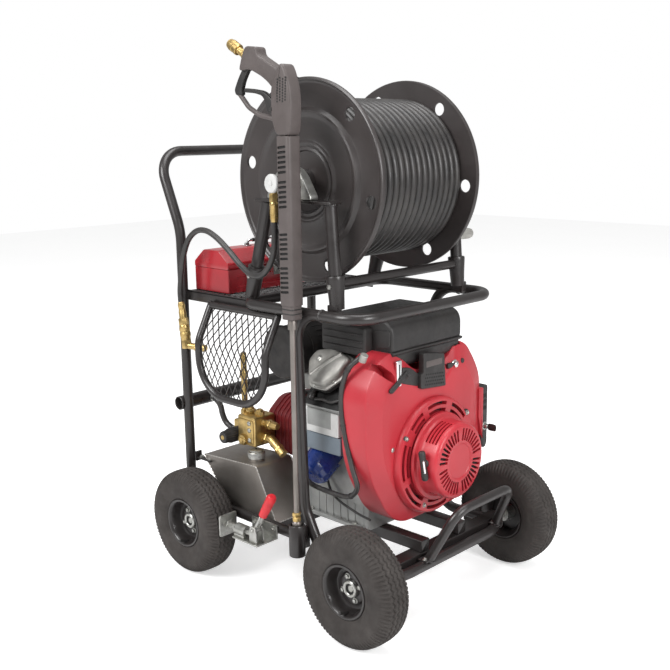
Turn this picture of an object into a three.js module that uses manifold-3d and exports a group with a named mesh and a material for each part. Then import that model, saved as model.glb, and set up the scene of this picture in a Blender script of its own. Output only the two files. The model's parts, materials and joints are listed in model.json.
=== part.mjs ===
// Engine-driven pressure washer on a four-wheel cart, with a hose reel, tool box and trigger gun.
// Millimetres, +Z up, +X towards the engine's recoil starter, -Y the side that carries the spray gun.
// The group is shifted at the end so that its origin is the middle of the box that it fills, on the ground.

import * as THREE from "three";
import { mergeVertices } from "three/addons/utils/BufferGeometryUtils.js";
import Module from "manifold-3d";

const wasm = await Module();
wasm.setup();

// ---------------------------------------------------------------- driving dimensions

const GAP = 0.3; // clearance between pieces that touch

const tubeRadius = 12.7;
const wheelRadius = 132.5;
const tyreWidth = 88;
const rimRadius = 60.8;
const rimWidth = 72;
const axleRadius = 8;
const wheelbase = 561;
const track = 584.5;

const railHalf = 228; // the base rails and the rear uprights, from the middle
const railHeight = 160;
const uprightX = -368;
const handleKneeHeight = 860;
const handleHeight = 1056;
const handleX = -452;

const hoopX = 68;
const deckHalf = 246;
const deckHeight = 707;
const deckFrontX = 255;
const deckBackX = -112;
const sillHalf = 230; // the hoops' low runs to the front axle beam
const sillHeight = 125;

const reelX = 31;
const reelHeight = deckHeight + 283;
const flangeRadius = 229;
const flangeSpread = 332; // between the outer faces of the two flanges
const flangeThickness = 5;
const drumRadius = 70;
const reelShaftRadius = 16;
const hoseDiameter = 19.5;
const packRadius = 185;
const standHalf = 216;
const legRadius = 14.3;
const crankLength = 177;

const crankHeight = 357; // the engine's and the pump's common shaft
const shroudFrontX = 258;
const shroudBackX = 172;
const lanceX = 88;
const lanceHeight = 1091;
const tankBack = -328;
const tankTop = 286;
const boxLength = 330; // the tool box, along Y
const boxWidth = 131;
const boxHeight = 104;

// ---------------------------------------------------------------- geometry helpers

// One closed surface with shared corners, no collapsed triangles and its faces outwards.
function clean(geometry) {
  const bare = geometry.index ? geometry.toNonIndexed() : geometry.clone();
  bare.deleteAttribute("normal");
  bare.deleteAttribute("uv");
  const merged = mergeVertices(bare, 1e-3);
  const kept = [];
  const index = merged.index.array;
  for (let i = 0; i < index.length; i += 3) {
    const [a, b, c] = [index[i], index[i + 1], index[i + 2]];
    if (a !== b && b !== c && c !== a) kept.push(a, b, c);
  }
  const position = merged.attributes.position;
  const [p, q, r] = [new THREE.Vector3(), new THREE.Vector3(), new THREE.Vector3()];
  let volume = 0;
  for (let i = 0; i < kept.length; i += 3) {
    p.fromBufferAttribute(position, kept[i]);
    q.fromBufferAttribute(position, kept[i + 1]);
    r.fromBufferAttribute(position, kept[i + 2]);
    volume += p.dot(q.cross(r));
  }
  if (volume < 0) kept.reverse();
  merged.setIndex(new THREE.BufferAttribute(new Uint32Array(kept), 1));
  return merged;
}

function toSolid(geometry) {
  const mesh = clean(geometry);
  return new wasm.Manifold(
    new wasm.Mesh({
      numProp: 3,
      vertProperties: new Float32Array(mesh.attributes.position.array),
      triVerts: new Uint32Array(mesh.index.array),
    }),
  );
}

function fromSolid(solid) {
  const mesh = solid.getMesh();
  return new THREE.BufferGeometry()
    .setAttribute("position", new THREE.BufferAttribute(new Float32Array(mesh.vertProperties), 3))
    .setIndex(new THREE.BufferAttribute(new Uint32Array(mesh.triVerts), 1));
}

const join = (...pieces) => fromSolid(pieces.map(toSolid).reduce((a, b) => a.add(b)));

function cut(piece, ...tools) {
  return fromSolid(tools.map(toSolid).reduce((a, b) => a.subtract(b), toSolid(piece)));
}

const point = (x, y, z) => new THREE.Vector3(x, y, z);

function box(x0, x1, y0, y1, z0, z1) {
  const geometry = new THREE.BoxGeometry(x1 - x0, y1 - y0, z1 - z0);
  return geometry.translate((x0 + x1) / 2, (y0 + y1) / 2, (z0 + z1) / 2);
}

// A straight round bar from one point to another, tapered if it has a second radius.
function rod(from, to, radius, sides = 16, endRadius = radius) {
  const along = to.clone().sub(from);
  const turn = new THREE.Quaternion().setFromUnitVectors(point(0, 1, 0), along.clone().normalize());
  const geometry = new THREE.CylinderGeometry(endRadius, radius, along.length(), sides);
  const middle = from.clone().add(to).multiplyScalar(0.5);
  return geometry.applyQuaternion(turn).translate(middle.x, middle.y, middle.z);
}

// A profile of [radius, height] pairs turned about the X, Y or Z axis through a point.
function turned(profile, axis, origin, sides = 28, start = 0) {
  const geometry = new THREE.LatheGeometry(
    profile.map(([radius, height]) => new THREE.Vector2(radius, height)),
    sides,
    start,
  );
  if (axis === "x") geometry.rotateZ(-Math.PI / 2);
  if (axis === "z") geometry.rotateX(Math.PI / 2);
  return geometry.translate(origin.x, origin.y, origin.z);
}

// An outline, with its corners rounded, carried straight along X, Y or Z between two places.
function slab(outline, axis, from, to, rounding = 0) {
  const shape = roundedShape(outline, rounding);
  const settings = { depth: to - from, bevelEnabled: false, curveSegments: 4 };
  const geometry = new THREE.ExtrudeGeometry(shape, settings);
  const [X, Y, Z] = [point(1, 0, 0), point(0, 1, 0), point(0, 0, 1)];
  const turn = new THREE.Matrix4();
  if (axis === "x") turn.makeBasis(Y, Z, X).setPosition(from, 0, 0);
  if (axis === "y") turn.makeBasis(X, Z, Y.clone().negate()).setPosition(0, to, 0);
  if (axis === "z") turn.makeBasis(X, Y, Z).setPosition(0, 0, from);
  return geometry.applyMatrix4(turn);
}

function roundedShape(outline, rounding) {
  const corners = outline.map(([a, b]) => new THREE.Vector2(a, b));
  const shape = new THREE.Shape();
  corners.forEach((corner, i) => {
    const before = corners[(i + corners.length - 1) % corners.length];
    const after = corners[(i + 1) % corners.length];
    const reach = Math.min(rounding, corner.distanceTo(before) / 2.1, corner.distanceTo(after) / 2.1);
    const start = corner.clone().lerp(before, reach / corner.distanceTo(before));
    const end = corner.clone().lerp(after, reach / corner.distanceTo(after));
    if (i === 0) shape.moveTo(start.x, start.y);
    else shape.lineTo(start.x, start.y);
    if (rounding > 0) shape.quadraticCurveTo(corner.x, corner.y, end.x, end.y);
  });
  shape.closePath();
  return shape;
}

// The centre line of a bent tube: straight runs between corners that are rounded to an arc.
class BentPath extends THREE.Curve {
  constructor(corners, bendRadius, arcSteps) {
    super();
    this.stations = [];
    const add = (place, tangent) => this.stations.push({ place, tangent });
    const heading = (a, b) => b.clone().sub(a).normalize();
    add(corners[0], heading(corners[0], corners[1]));
    for (let i = 1; i < corners.length - 1; i++) {
      const into = heading(corners[i - 1], corners[i]);
      const out = heading(corners[i], corners[i + 1]);
      const angle = into.angleTo(out);
      const radius = Array.isArray(bendRadius) ? bendRadius[i - 1] : bendRadius;
      const reach = radius * Math.tan(angle / 2);
      const inward = out.clone().sub(into).normalize();
      const centre = corners[i].clone().addScaledVector(inward, radius / Math.cos(angle / 2));
      const arm = corners[i].clone().addScaledVector(into, -reach).sub(centre);
      const axle = into.clone().cross(out).normalize();
      for (let step = 0; step <= arcSteps; step++) {
        const turn = new THREE.Quaternion().setFromAxisAngle(axle, (angle * step) / arcSteps);
        add(arm.clone().applyQuaternion(turn).add(centre), into.clone().applyQuaternion(turn));
      }
    }
    const last = corners.length - 1;
    add(corners[last], heading(corners[last - 1], corners[last]));
  }

  station(u) {
    return this.stations[Math.round(u * (this.stations.length - 1))];
  }

  getPointAt(u) {
    return this.station(u).place.clone();
  }

  getTangentAt(u) {
    return this.station(u).tangent.clone();
  }
}

function circle(radius, sides) {
  const corners = Array.from({ length: sides }, (_, i) => (2 * Math.PI * i) / sides);
  return new THREE.Shape(corners.map((a) => new THREE.Vector2(radius * Math.cos(a), radius * Math.sin(a))));
}

function bentTube(corners, radius, bendRadius, { arcSteps = 4, sides = 12 } = {}) {
  const path = new BentPath(corners, bendRadius, arcSteps);
  const settings = { steps: path.stations.length - 1, extrudePath: path };
  return new THREE.ExtrudeGeometry(circle(radius, sides), settings);
}

// A smooth flexible hose through a few points, with its steps evenly spread.
function hose(points, radius, steps, sides = 8) {
  const settings = { steps, extrudePath: new THREE.CatmullRomCurve3(points, false, "centripetal") };
  return new THREE.ExtrudeGeometry(circle(radius, sides), settings);
}

const mirrored = (side, [x, y, z]) => point(x, side * y, z);

// ---------------------------------------------------------------- materials

const finish = (color, roughness, metalness = 0) =>
  new THREE.MeshStandardMaterial({ color, roughness, metalness });

const blackPaint = finish(0x17181a, 0.35, 0.3);
const rubber = finish(0x1d1c1b, 0.85);
const hoseRubber = finish(0x2b2826, 0.5);
const zinc = finish(0xb9bcbc, 0.35, 0.9);
const brass = finish(0xb58a3c, 0.35, 0.9);
const redPlastic = finish(0xb4202a, 0.4);
const redPaint = finish(0xa31c24, 0.3, 0.2);
const redGrip = finish(0xc51f2b, 0.6);
const blackPlastic = finish(0x2a2a2c, 0.55);
const alloy = finish(0x9a9a96, 0.5, 0.7);
const tankSteel = finish(0x9c978f, 0.35, 0.9);
const filterBlue = finish(0x1d3f8f, 0.35, 0.2);
const castZinc = finish(0xa9adab, 0.45, 0.8);

const washer = new THREE.Group();

function add(name, geometry, material, parent = washer) {
  const mesh = new THREE.Mesh(clean(geometry), material);
  mesh.name = name;
  parent.add(mesh);
  return mesh;
}

// ---------------------------------------------------------------- wheels

function tyreGeometry(centre) {
  const sides = 28;
  const flat = 1 / Math.cos(Math.PI / sides); // the flats between corners touch the ground
  const [R, half] = [wheelRadius * flat, tyreWidth / 2];
  const bead = (rimRadius - 10 + GAP) * flat;
  const lip = rimWidth / 2 - 3 - GAP;
  const side = [
    [bead, lip],
    [rimRadius + 1.5, lip],
    [rimRadius + 5, half - 6],
    [(R + rimRadius) / 2 - 5, half],
    [R - 14, half - 5],
    [R, half - 24],
  ];
  const profile = [...side, ...side.map(([r, h]) => [r, -h]).reverse(), side[0]];
  return turned(profile, "y", centre, sides, Math.PI / sides);
}

function rimGeometry(centre, outward) {
  const half = rimWidth / 2;
  const well = rimRadius - 14;
  const profile = [
    [axleRadius + GAP, -30],
    [19, -30],
    [19, 0],
    [well, 0],
    [well, -half],
    [rimRadius, -half],
    [rimRadius, 3 - half],
    [rimRadius - 10, 3 - half],
    [rimRadius - 10, half - 3],
    [rimRadius, half - 3],
    [rimRadius, half],
    [well, half],
    [well, 4],
    [19, 4],
    [19, 14],
    [axleRadius + GAP, 14],
    [axleRadius + GAP, -30],
  ];
  return turned(profile.map(([r, h]) => [r, h * outward]), "y", centre, 20);
}

for (const [end, forward] of [["rear", -1], ["front", 1]]) {
  for (const [side, outward] of [["near", -1], ["far", 1]]) {
    const centre = point((forward * wheelbase) / 2, (outward * track) / 2, wheelRadius);
    add(`tyre_${end}_${side}`, tyreGeometry(centre), rubber);
    add(`rim_${end}_${side}`, rimGeometry(centre, outward), blackPaint);
  }
}

// ---------------------------------------------------------------- frame

const railUnder = railHeight - tubeRadius;
const beamTop = railUnder - GAP;
const beamBottom = beamTop - 31;
const beamInner = wheelbase / 2 - 18.5;
const beamOuter = wheelbase / 2 + 18.5;

// The base rails, the rear uprights and the push handle are one bent tube.
function mainFrameTube() {
  const half = [
    [hoopX - 40, railHalf, railHeight],
    [uprightX, railHalf, railHeight],
    [uprightX, railHalf, handleKneeHeight],
    [handleX, railHalf, handleHeight],
  ];
  const near = half.map((corner) => mirrored(-1, corner));
  const far = half.map((corner) => mirrored(1, corner)).reverse();
  return bentTube([...near, ...far], tubeRadius, [70, 150, 75, 75, 150, 70]);
}

const crossTubeRadius = 18;
const crossTubeX = uprightX - crossTubeRadius + 2;
const crossTubeZ = 411;
const crossTubeHalf = railHalf + tubeRadius + 6;

function crossTubeSolid(radius) {
  const end = (side) => point(crossTubeX, side * crossTubeHalf, crossTubeZ);
  return rod(end(-1), end(1), radius, 20);
}

add("main_frame_tube", cut(mainFrameTube(), crossTubeSolid(crossTubeRadius + GAP)), blackPaint);
const crossTubeBore = rod(
  point(crossTubeX, -crossTubeHalf - 1, crossTubeZ),
  point(crossTubeX, crossTubeHalf + 1, crossTubeZ),
  crossTubeRadius - 3,
  20,
);
add("rear_cross_tube", cut(crossTubeSolid(crossTubeRadius), crossTubeBore), blackPaint);

// A side hoop: a low run to the front beam, an upright, and a bend forward into the deck.
function hoopCorners(side) {
  return [
    [beamInner - GAP, sillHalf, sillHeight],
    [hoopX + 58, sillHalf, sillHeight],
    [hoopX, sillHalf + 3, sillHeight + 118],
    [hoopX, deckHalf, deckHeight],
    [hoopX + 80, deckHalf, deckHeight],
  ].map((corner) => mirrored(side, corner));
}

const hoopSolid = (side, extra = 0) => bentTube(hoopCorners(side), tubeRadius + extra, [50, 90, 66]);
add("hoop_near", hoopSolid(-1), blackPaint);
add("hoop_far", hoopSolid(1), blackPaint);

const deckFront = [
  [hoopX + 80 + GAP, -deckHalf, deckHeight],
  [deckFrontX, -deckHalf, deckHeight],
  [deckFrontX, deckHalf, deckHeight],
  [hoopX + 80 + GAP, deckHalf, deckHeight],
].map((corner) => point(...corner));
add("deck_front_bar", bentTube(deckFront, tubeRadius, 62, { arcSteps: 6 }), blackPaint);

const deckBack = [
  [hoopX + 30, -deckHalf, deckHeight],
  [deckBackX, -deckHalf, deckHeight],
  [deckBackX, deckHalf, deckHeight],
  [hoopX + 30, deckHalf, deckHeight],
].map((corner) => point(...corner));
const deckBackTube = bentTube(deckBack, tubeRadius, 40);
add("deck_back_bar", cut(deckBackTube, hoopSolid(-1, GAP), hoopSolid(1, GAP)), blackPaint);

// Each axle beam ends in two stubs that carry the wheels.
function axleBeam(forward) {
  const beamHalf = track / 2 - tyreWidth / 2 - 6;
  const wheelX = (forward * wheelbase) / 2;
  const stubEnd = track / 2 + 13;
  const [xa, xb] = forward > 0 ? [beamInner, beamOuter] : [-beamOuter, -beamInner];
  const stub = rod(point(wheelX, -stubEnd, wheelRadius), point(wheelX, stubEnd, wheelRadius), axleRadius, 16);
  return join(box(xa, xb, -beamHalf, beamHalf, beamBottom, beamTop), stub);
}

const bowCorners = [
  [beamOuter - 6, -sillHalf + 4, sillHeight + 2],
  [beamOuter + 18, -165, sillHeight + 2],
  [beamOuter + 18, 165, sillHeight + 2],
  [beamOuter - 6, sillHalf - 4, sillHeight + 2],
].map((corner) => point(...corner));
add("front_axle_beam", join(axleBeam(1), bentTube(bowCorners, tubeRadius, 110)), blackPaint);
add("rear_axle_beam", axleBeam(-1), blackPaint);

// The bow's centre line bends back towards the beam beyond its straight middle.
const bowSlope = 24 / (sillHalf - 4 - 165);
const bowX = (y) => beamOuter + 18 - bowSlope * Math.max(0, Math.abs(y) - 165);

// The bumper's legs lean forward and together from the bow to its top bar.
function bumper() {
  const [middle, footHalf, topHalf, radius] = [52, 141, 104, tubeRadius - 1.7];
  const corners = [-1, 1].flatMap((side) => {
    const footY = middle + side * footHalf;
    const foot = [bowX(footY), footY, sillHeight + 2];
    const top = [beamOuter + 78, middle + side * topHalf, 260];
    return side < 0 ? [foot, top] : [top, foot];
  });
  const bow = bentTube(bowCorners, tubeRadius + GAP, 110);
  return cut(bentTube(corners.map((corner) => point(...corner)), radius, 48), bow);
}

add("bumper", bumper(), blackPaint);

// Two rails under the engine, tied by a cross-member below the base rails.
function engineCradle() {
  const [railMiddle, halfWidth, top] = [70, 15, 175];
  const rails = [-1, 1].map((side) =>
    box(-118, beamOuter, side * railMiddle - halfWidth, side * railMiddle + halfWidth, beamTop + GAP, top),
  );
  const crossMember = box(-110, -80, -railHalf - 8, railHalf + 8, beamBottom, beamTop + 1);
  const trimmed = cut(crossMember, box(-120, -70, -railHalf - 20, -railMiddle - 40, railUnder - GAP, 200));
  return join(...rails, cut(trimmed, box(-120, -70, railMiddle + 40, railHalf + 20, railUnder - GAP, 200)));
}

add("engine_cradle", engineCradle(), blackPaint);

// The socket that the lance stands in, on a web from the near hoop.
const gripHalf = 19;
const lanceY = -(deckHalf + tubeRadius + gripHalf + GAP);
const socketBottom = 142;
const socketTop = 218;
const socketFloor = 152;
const socketRadius = 19;
const lanceBore = 14;

function lanceSocket() {
  const cup = turned(
    [
      [0, socketBottom],
      [socketRadius, socketBottom],
      [socketRadius, socketTop],
      [lanceBore, socketTop],
      [lanceBore, socketFloor],
      [0, socketFloor],
    ],
    "z",
    point(lanceX, lanceY, 0),
    20,
  );
  const web = box(lanceX - 6, lanceX, lanceY + socketRadius - 4, -railHalf + 6, 150, 205);
  const rail = rod(point(-100, -railHalf, railHeight), point(120, -railHalf, railHeight), tubeRadius + GAP);
  return cut(join(cup, web), hoopSolid(-1, GAP), rail);
}

add("lance_socket", lanceSocket(), blackPaint);

// The shelf is a sheet of expanded metal on an angle frame between the uprights and the deck.
const shelfTop = deckHeight + 5;
const shelfBack = uprightX + tubeRadius + GAP;
const shelfHalf = deckHalf - tubeRadius - 8;
const shelfFront = deckBackX - tubeRadius - GAP;

function shelf() {
  const sheet = box(shelfBack, shelfFront, -shelfHalf, shelfHalf, shelfTop - 4, shelfTop);
  const lips = [-1, 1].map((side) => {
    const [a, b] = [side * shelfHalf, side * (shelfHalf - 4)].sort((p, q) => p - q);
    return box(shelfBack, shelfFront, a, b, shelfTop - 26, shelfTop);
  });
  return join(sheet, ...lips);
}

add("shelf", shelf(), blackPaint);

// A round-tube rim that drops from the shelf's near edge, filled with expanded metal.
const guardY = -278;

function dropGuard() {
  const radius = 9;
  const [xa, xb, bottom] = [-250, -6, 470];
  const top = deckHeight - tubeRadius - radius - GAP;
  const shelfEdge = -(shelfHalf + radius + GAP);
  const corners = [
    [xa, shelfEdge, top],
    [xa, guardY, top - 84],
    [xa, guardY, bottom],
    [xb, guardY, bottom],
    [xb, guardY, top - 84],
    [xb, shelfEdge, top],
  ];
  const rim = bentTube(corners.map((corner) => point(...corner)), radius, [60, 95, 95, 60], { sides: 8 });
  const header = rod(point(xa, shelfEdge, top), point(xb, shelfEdge, top), radius, 8);
  const lowerSheet = slab(
    [
      [xa + 2, bottom + 70],
      [xa + 2, top - 78],
      [xb - 2, top - 78],
      [xb - 2, bottom + 70],
      [xb - 60, bottom + 4],
      [xa + 60, bottom + 4],
    ],
    "y",
    guardY - 1.5,
    guardY + 1.5,
    40,
  );
  const upperSheet = slab(
    [
      [guardY - 1.5, top - 84],
      [guardY + 1.5, top - 86],
      [shelfEdge + 1.5, top],
      [shelfEdge - 1.5, top],
    ],
    "x",
    xa,
    xb,
  );
  return join(rim, header, lowerSheet, upperSheet);
}

add("drop_guard", dropGuard(), blackPaint);

// ---------------------------------------------------------------- reel and its stand

const plateZ = reelHeight - 44;
const standFrontFoot = reelX + 135;
const standBackFoot = reelX - 146;

// Two A-frames, whose feet stand in tapered sleeves, and the tube that ties them.
function reelStand() {
  const sleeveTop = deckHeight + 72;
  const sleeveBottom = deckHeight + tubeRadius + GAP;
  const lean = (standFrontFoot - reelX - 118) / (plateZ - sleeveBottom);
  const tieZ = deckHeight + 68;
  const tieX = standFrontFoot - lean * (tieZ - sleeveBottom);
  const pieces = [rod(point(tieX, -standHalf, tieZ), point(tieX, standHalf, tieZ), 11, 12)];
  for (const side of [-1, 1]) {
    const y = side * standHalf;
    pieces.push(box(reelX - 108, reelX + 134, y - 20, y + 20, plateZ, plateZ + 6));
    for (const [foot, head] of [[standFrontFoot, reelX + 118], [standBackFoot, reelX - 82]]) {
      const share = (sleeveTop - sleeveBottom) / (plateZ - sleeveBottom);
      const [low, top] = [point(foot, y, sleeveBottom), point(head, y, plateZ + 2)];
      pieces.push(rod(low, top, legRadius, 12));
      pieces.push(rod(low, low.clone().lerp(top, share), 16.5, 14, 21));
    }
    const [inner, outer] = [y, side * (deckHalf - tubeRadius - GAP)].sort((p, q) => p - q);
    const [back, front] = [standFrontFoot - 14, standFrontFoot + 14];
    pieces.push(box(back, front, inner, outer, deckHeight - 4, sleeveBottom + 10));
  }
  return cut(join(...pieces), bentTube(deckBack, tubeRadius + GAP, 40));
}

add("reel_stand", reelStand(), blackPaint);

const reelAxis = point(reelX, 0, reelHeight);

// The two flanges are a few degrees out of step, each with its own first lightening hole.
const holeCount = 6;

function flange(side, firstHole) {
  const face = (side * flangeSpread) / 2;
  const back = face - side * flangeThickness;
  const profile = [
    [reelShaftRadius + GAP, face],
    [flangeRadius - 8, face],
    [flangeRadius - 4, face + side * 7],
    [flangeRadius, face + side * 4],
    [flangeRadius, back],
    [reelShaftRadius + GAP, back],
    [reelShaftRadius + GAP, face],
  ];
  const disc = turned(profile, "y", reelAxis, 40);
  const holes = Array.from({ length: holeCount }, (_, i) => {
    const angle = THREE.MathUtils.degToRad(firstHole + (360 * i) / holeCount);
    const x = reelX + (flangeRadius - 34) * Math.sin(angle);
    const z = reelHeight + (flangeRadius - 34) * Math.cos(angle);
    return rod(point(x, face - 20, z), point(x, face + 20, z), 15, 12);
  });
  return cut(disc, ...holes);
}

add("reel_flange_near", flange(-1, 42), blackPaint);
add("reel_flange_far", flange(1, 36), blackPaint);

const drumHalf = flangeSpread / 2 - flangeThickness - GAP;
const shaftEnd = standHalf + 44;
const drumProfile = [
  [0, -shaftEnd],
  [reelShaftRadius, -shaftEnd],
  [reelShaftRadius, -drumHalf],
  [drumRadius, -drumHalf],
  [drumRadius, drumHalf],
  [reelShaftRadius, drumHalf],
  [reelShaftRadius, shaftEnd],
  [0, shaftEnd],
];
add("reel_drum", turned(drumProfile, "y", reelAxis, 24), blackPaint);

// The wound hose, as a ring whose outer face dips between the turns.
function hosePack() {
  const inner = drumRadius + GAP;
  const half = drumHalf - GAP;
  const turns = Math.floor((2 * half) / hoseDiameter);
  const pitch = (2 * half) / turns;
  const profile = [[inner, -half]];
  for (let i = 0; i < turns; i++) {
    const middle = -half + pitch * (i + 0.5);
    profile.push([packRadius - 5, middle - pitch / 2 + (i ? 0.5 : 0)]);
    profile.push([packRadius, middle]);
  }
  profile.push([packRadius - 5, half], [inner, half], [inner, -half]);
  return turned(profile, "y", reelAxis, 24);
}

add("hose_pack", hosePack(), hoseRubber);

function bearing(side) {
  const y = side * standHalf;
  const base = plateZ + 6 + GAP;
  const outline = [
    [reelX - 62, base],
    [reelX + 62, base],
    [reelX + 62, base + 10],
    [reelX + 34, base + 22],
    [reelX + 28, reelHeight + 26],
    [reelX, reelHeight + 36],
    [reelX - 28, reelHeight + 26],
    [reelX - 34, base + 22],
    [reelX - 62, base + 10],
  ];
  const block = slab(outline, "y", y - 17, y + 17, 8);
  const boreEnd = (side) => point(reelX, y + side * 30, reelHeight);
  const bore = rod(boreEnd(-1), boreEnd(1), reelShaftRadius + GAP, 24);
  return cut(block, bore);
}

add("reel_bearing_near", bearing(-1), castZinc);
add("reel_bearing_far", bearing(1), castZinc);

// The swivel lets the reel turn while the feed hose below it stays still.
const swivelInner = -(shaftEnd + GAP);
const swivelOuter = swivelInner - 20;
const feedY = swivelInner - 10.5;
const ferruleTop = reelHeight - 22;
const hoseTop = reelHeight - 84;

function swivel() {
  const profile = [
    [0, swivelOuter],
    [21, swivelOuter],
    [21, swivelOuter + 8],
    [13, swivelOuter + 8],
    [13, swivelInner],
    [0, swivelInner],
  ];
  const body = turned(profile, "y", reelAxis, 20);
  const nut = rod(point(reelX, feedY, ferruleTop - 18), point(reelX, feedY, reelHeight), 10, 6);
  const ferrule = rod(point(reelX, feedY, hoseTop + GAP), point(reelX, feedY, ferruleTop - 16), 7, 12, 9);
  return join(body, nut, ferrule);
}

add("swivel", swivel(), brass);

// The crank: an arm on the far end of the shaft and a grip that turns on its pin.
const crankAngle = THREE.MathUtils.degToRad(148);
const crankEnd = point(
  reelX + crankLength * Math.sin(crankAngle),
  shaftEnd - 10,
  reelHeight + crankLength * Math.cos(crankAngle),
);
const crankInner = standHalf + 20;

function crankArm() {
  const y0 = crankInner + 4;
  const y1 = shaftEnd - 4;
  const hub = rod(point(reelX, y0, reelHeight), point(reelX, y1, reelHeight), 24, 20);
  const ex = crankEnd.x;
  const ez = crankEnd.z;
  const across = point(Math.cos(crankAngle), 0, -Math.sin(crankAngle));
  const corner = (x, z, s) => [x + across.x * s, z + across.z * s];
  const arm = slab(
    [corner(reelX, reelHeight, -14), corner(reelX, reelHeight, 14), corner(ex, ez, 11), corner(ex, ez, -11)],
    "y",
    y0,
    y0 + 8,
  );
  const boss = rod(point(ex, y0, ez), point(ex, y0 + 8, ez), 14, 16);
  const pin = rod(point(ex, y0 + 2, ez), point(ex, y0 + 86, ez), 5, 12);
  const [boreStart, boreEnd] = [y0 - 5, y1 + 5].map((y) => point(reelX, y, reelHeight));
  const bore = rod(boreStart, boreEnd, reelShaftRadius + GAP, 24);
  return cut(join(hub, arm, boss, pin), bore);
}

add("crank_arm", crankArm(), blackPaint);
const gripStart = crankInner + 4 + 8 + 0.6;
const gripProfile = [
  [5 + GAP, gripStart],
  [12, gripStart],
  [14, gripStart + 10],
  [14, gripStart + 62],
  [12, gripStart + 72],
  [5 + GAP, gripStart + 72],
  [5 + GAP, gripStart],
];
add("crank_grip", turned(gripProfile, "y", point(crankEnd.x, 0, crankEnd.z), 16), blackPlastic);

// ---------------------------------------------------------------- feed hose and its coupler

const couplerTop = point(-348, -252, 684);
const couplerBottom = point(-330, -252, 566);

const feedHosePoints = [
  point(reelX, feedY, hoseTop),
  point(reelX, feedY, hoseTop - 25),
  point(reelX - 4, feedY, hoseTop - 62),
  point(reelX - 20, feedY + 2, hoseTop - 95),
  point(-24, feedY + 6, 783),
  point(-62, feedY + 10, 780),
  point(-104, feedY + 14, 798),
  point(-150, feedY + 17, 829),
  point(-194, feedY + 18, 856),
  point(-232, feedY + 18, 870),
  point(-268, feedY + 18, 868),
  point(-300, feedY + 17, 847),
  point(-326, -253, 805),
  point(-342, -252, 752),
  point(-349, -252, 712),
  couplerTop.clone().add(point(-0.2, 0, GAP + 0.6)),
];
add("feed_hose", hose(feedHosePoints, 7, 60, 10), hoseRubber);

function quickCoupler() {
  const along = couplerBottom.clone().sub(couplerTop);
  const at = (share) => couplerTop.clone().addScaledVector(along, share);
  const barrel = rod(at(0), at(0.36), 8, 14, 9.5);
  const nut = rod(at(0.34), at(0.5), 12.5, 6);
  const sleeve = rod(at(0.48), at(0.82), 13.5, 16, 12);
  const body = rod(at(0.8), at(1), 12.5, 6);
  const outlet = rod(at(0.93), at(0.93).add(point(54, 20, -4)), 8.5, 12);
  return join(barrel, nut, sleeve, body, outlet);
}

const uprightEnds = [240, 840].map((z) => point(uprightX, -railHalf, z));
const uprightRod = (radius) => rod(...uprightEnds, radius, 12);
add("quick_coupler", cut(quickCoupler(), uprightRod(tubeRadius + GAP)), brass);

// ---------------------------------------------------------------- spray gun, standing in its socket

const gun = new THREE.Group();
gun.position.set(lanceX, lanceY, 0);
washer.add(gun);

const lanceRadius = 7.5;
const gripBottom = 697;
const gripTop = lanceHeight;
const lanceProfile = [
  [0, socketFloor + GAP],
  [11, socketFloor + GAP],
  [11, socketTop + 4],
  [lanceRadius, socketTop + 10],
  [lanceRadius, gripBottom - GAP],
  [0, gripBottom - GAP],
];
add("lance_tube", turned(lanceProfile, "z", point(0, 0, 0), 16), zinc, gun);

const gripOutline = (halfX, halfY) => [
  [-halfX, -halfY],
  [halfX, -halfY],
  [halfX, halfY],
  [-halfX, halfY],
];
const collar = slab(gripOutline(18, gripHalf - 2), "z", gripBottom, gripBottom + 34, 8);
const gripBody = slab(gripOutline(20, gripHalf), "z", gripBottom + 32, gripTop, 9);
add("lance_grip", join(collar, gripBody), blackPlastic, gun);

const above = (corners) => corners.map(([x, z]) => [x, gripTop + GAP + z]);
const triggerHalf = 6;

// The gun's shell: a body on the lance, a handle that rises from it and a guard in front of the trigger.
function gunBody() {
  const half = gripHalf - 1;
  const body = above([
    [-20, 0],
    [22, 0],
    [27, 60],
    [25, 96],
    [15, 128],
    [6, 145],
    [-4, 148],
    [-15, 137],
    [-34, 99],
    [-34, 35],
  ]);
  const handle = above([
    [-10, 134],
    [-76, 169],
    [-78, 186],
    [-114, 190],
    [-126, 169],
    [-137, 139],
    [-102, 141],
    [-67, 126],
    [-43, 111],
    [-28, 96],
  ]);
  const link = above([
    [-130, 150],
    [-112, 146],
    [-132, 119],
    [-140, 100],
    [-137, 88],
    [-159, 88],
    [-164, 100],
    [-150, 124],
    [-136, 142],
  ]);
  const loop = above([
    [-152, 92],
    [-122, 62],
    [-88, 45],
    [-28, 33],
  ]).map(([x, z]) => point(x, 0, z));
  const slot = box(-40, -18, -triggerHalf - 1, triggerHalf + 1, gripTop + 34, gripTop + 84);
  return join(
    cut(slab(body, "y", -half, half, 6), slot),
    slab(handle, "y", -half + 4, half - 4, 6),
    slab(link, "y", -triggerHalf, triggerHalf, 4),
    bentTube(loop, 5.5, [40, 60], { sides: 8, arcSteps: 3 }),
  );
}

// The trigger is a curved strap whose root turns in the body's slot, towards the handle.
function trigger() {
  const outline = above([
    [-131, 103],
    [-101, 100],
    [-70, 95],
    [-50, 83],
    [-38, 72],
    [-26, 70],
    [-26, 46],
    [-58, 48],
    [-65, 74],
    [-74, 85],
    [-98, 91],
    [-131, 94],
  ]);
  return slab(outline, "y", -triggerHalf, triggerHalf, 5);
}

const couplerBase = point(-127.2, 0, gripTop + GAP + 168);

function gunCoupler() {
  const along = point(-53.4, 0, 30.5);
  const at = (share) => couplerBase.clone().addScaledVector(along, share);
  const [nut, neck, sleeve] = [
    rod(at(0), at(0.26), 10, 6),
    rod(at(0.24), at(0.4), 8.5, 14),
    rod(at(0.38), at(1), 12.5, 16, 11),
  ];
  return join(nut, neck, sleeve);
}

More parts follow.
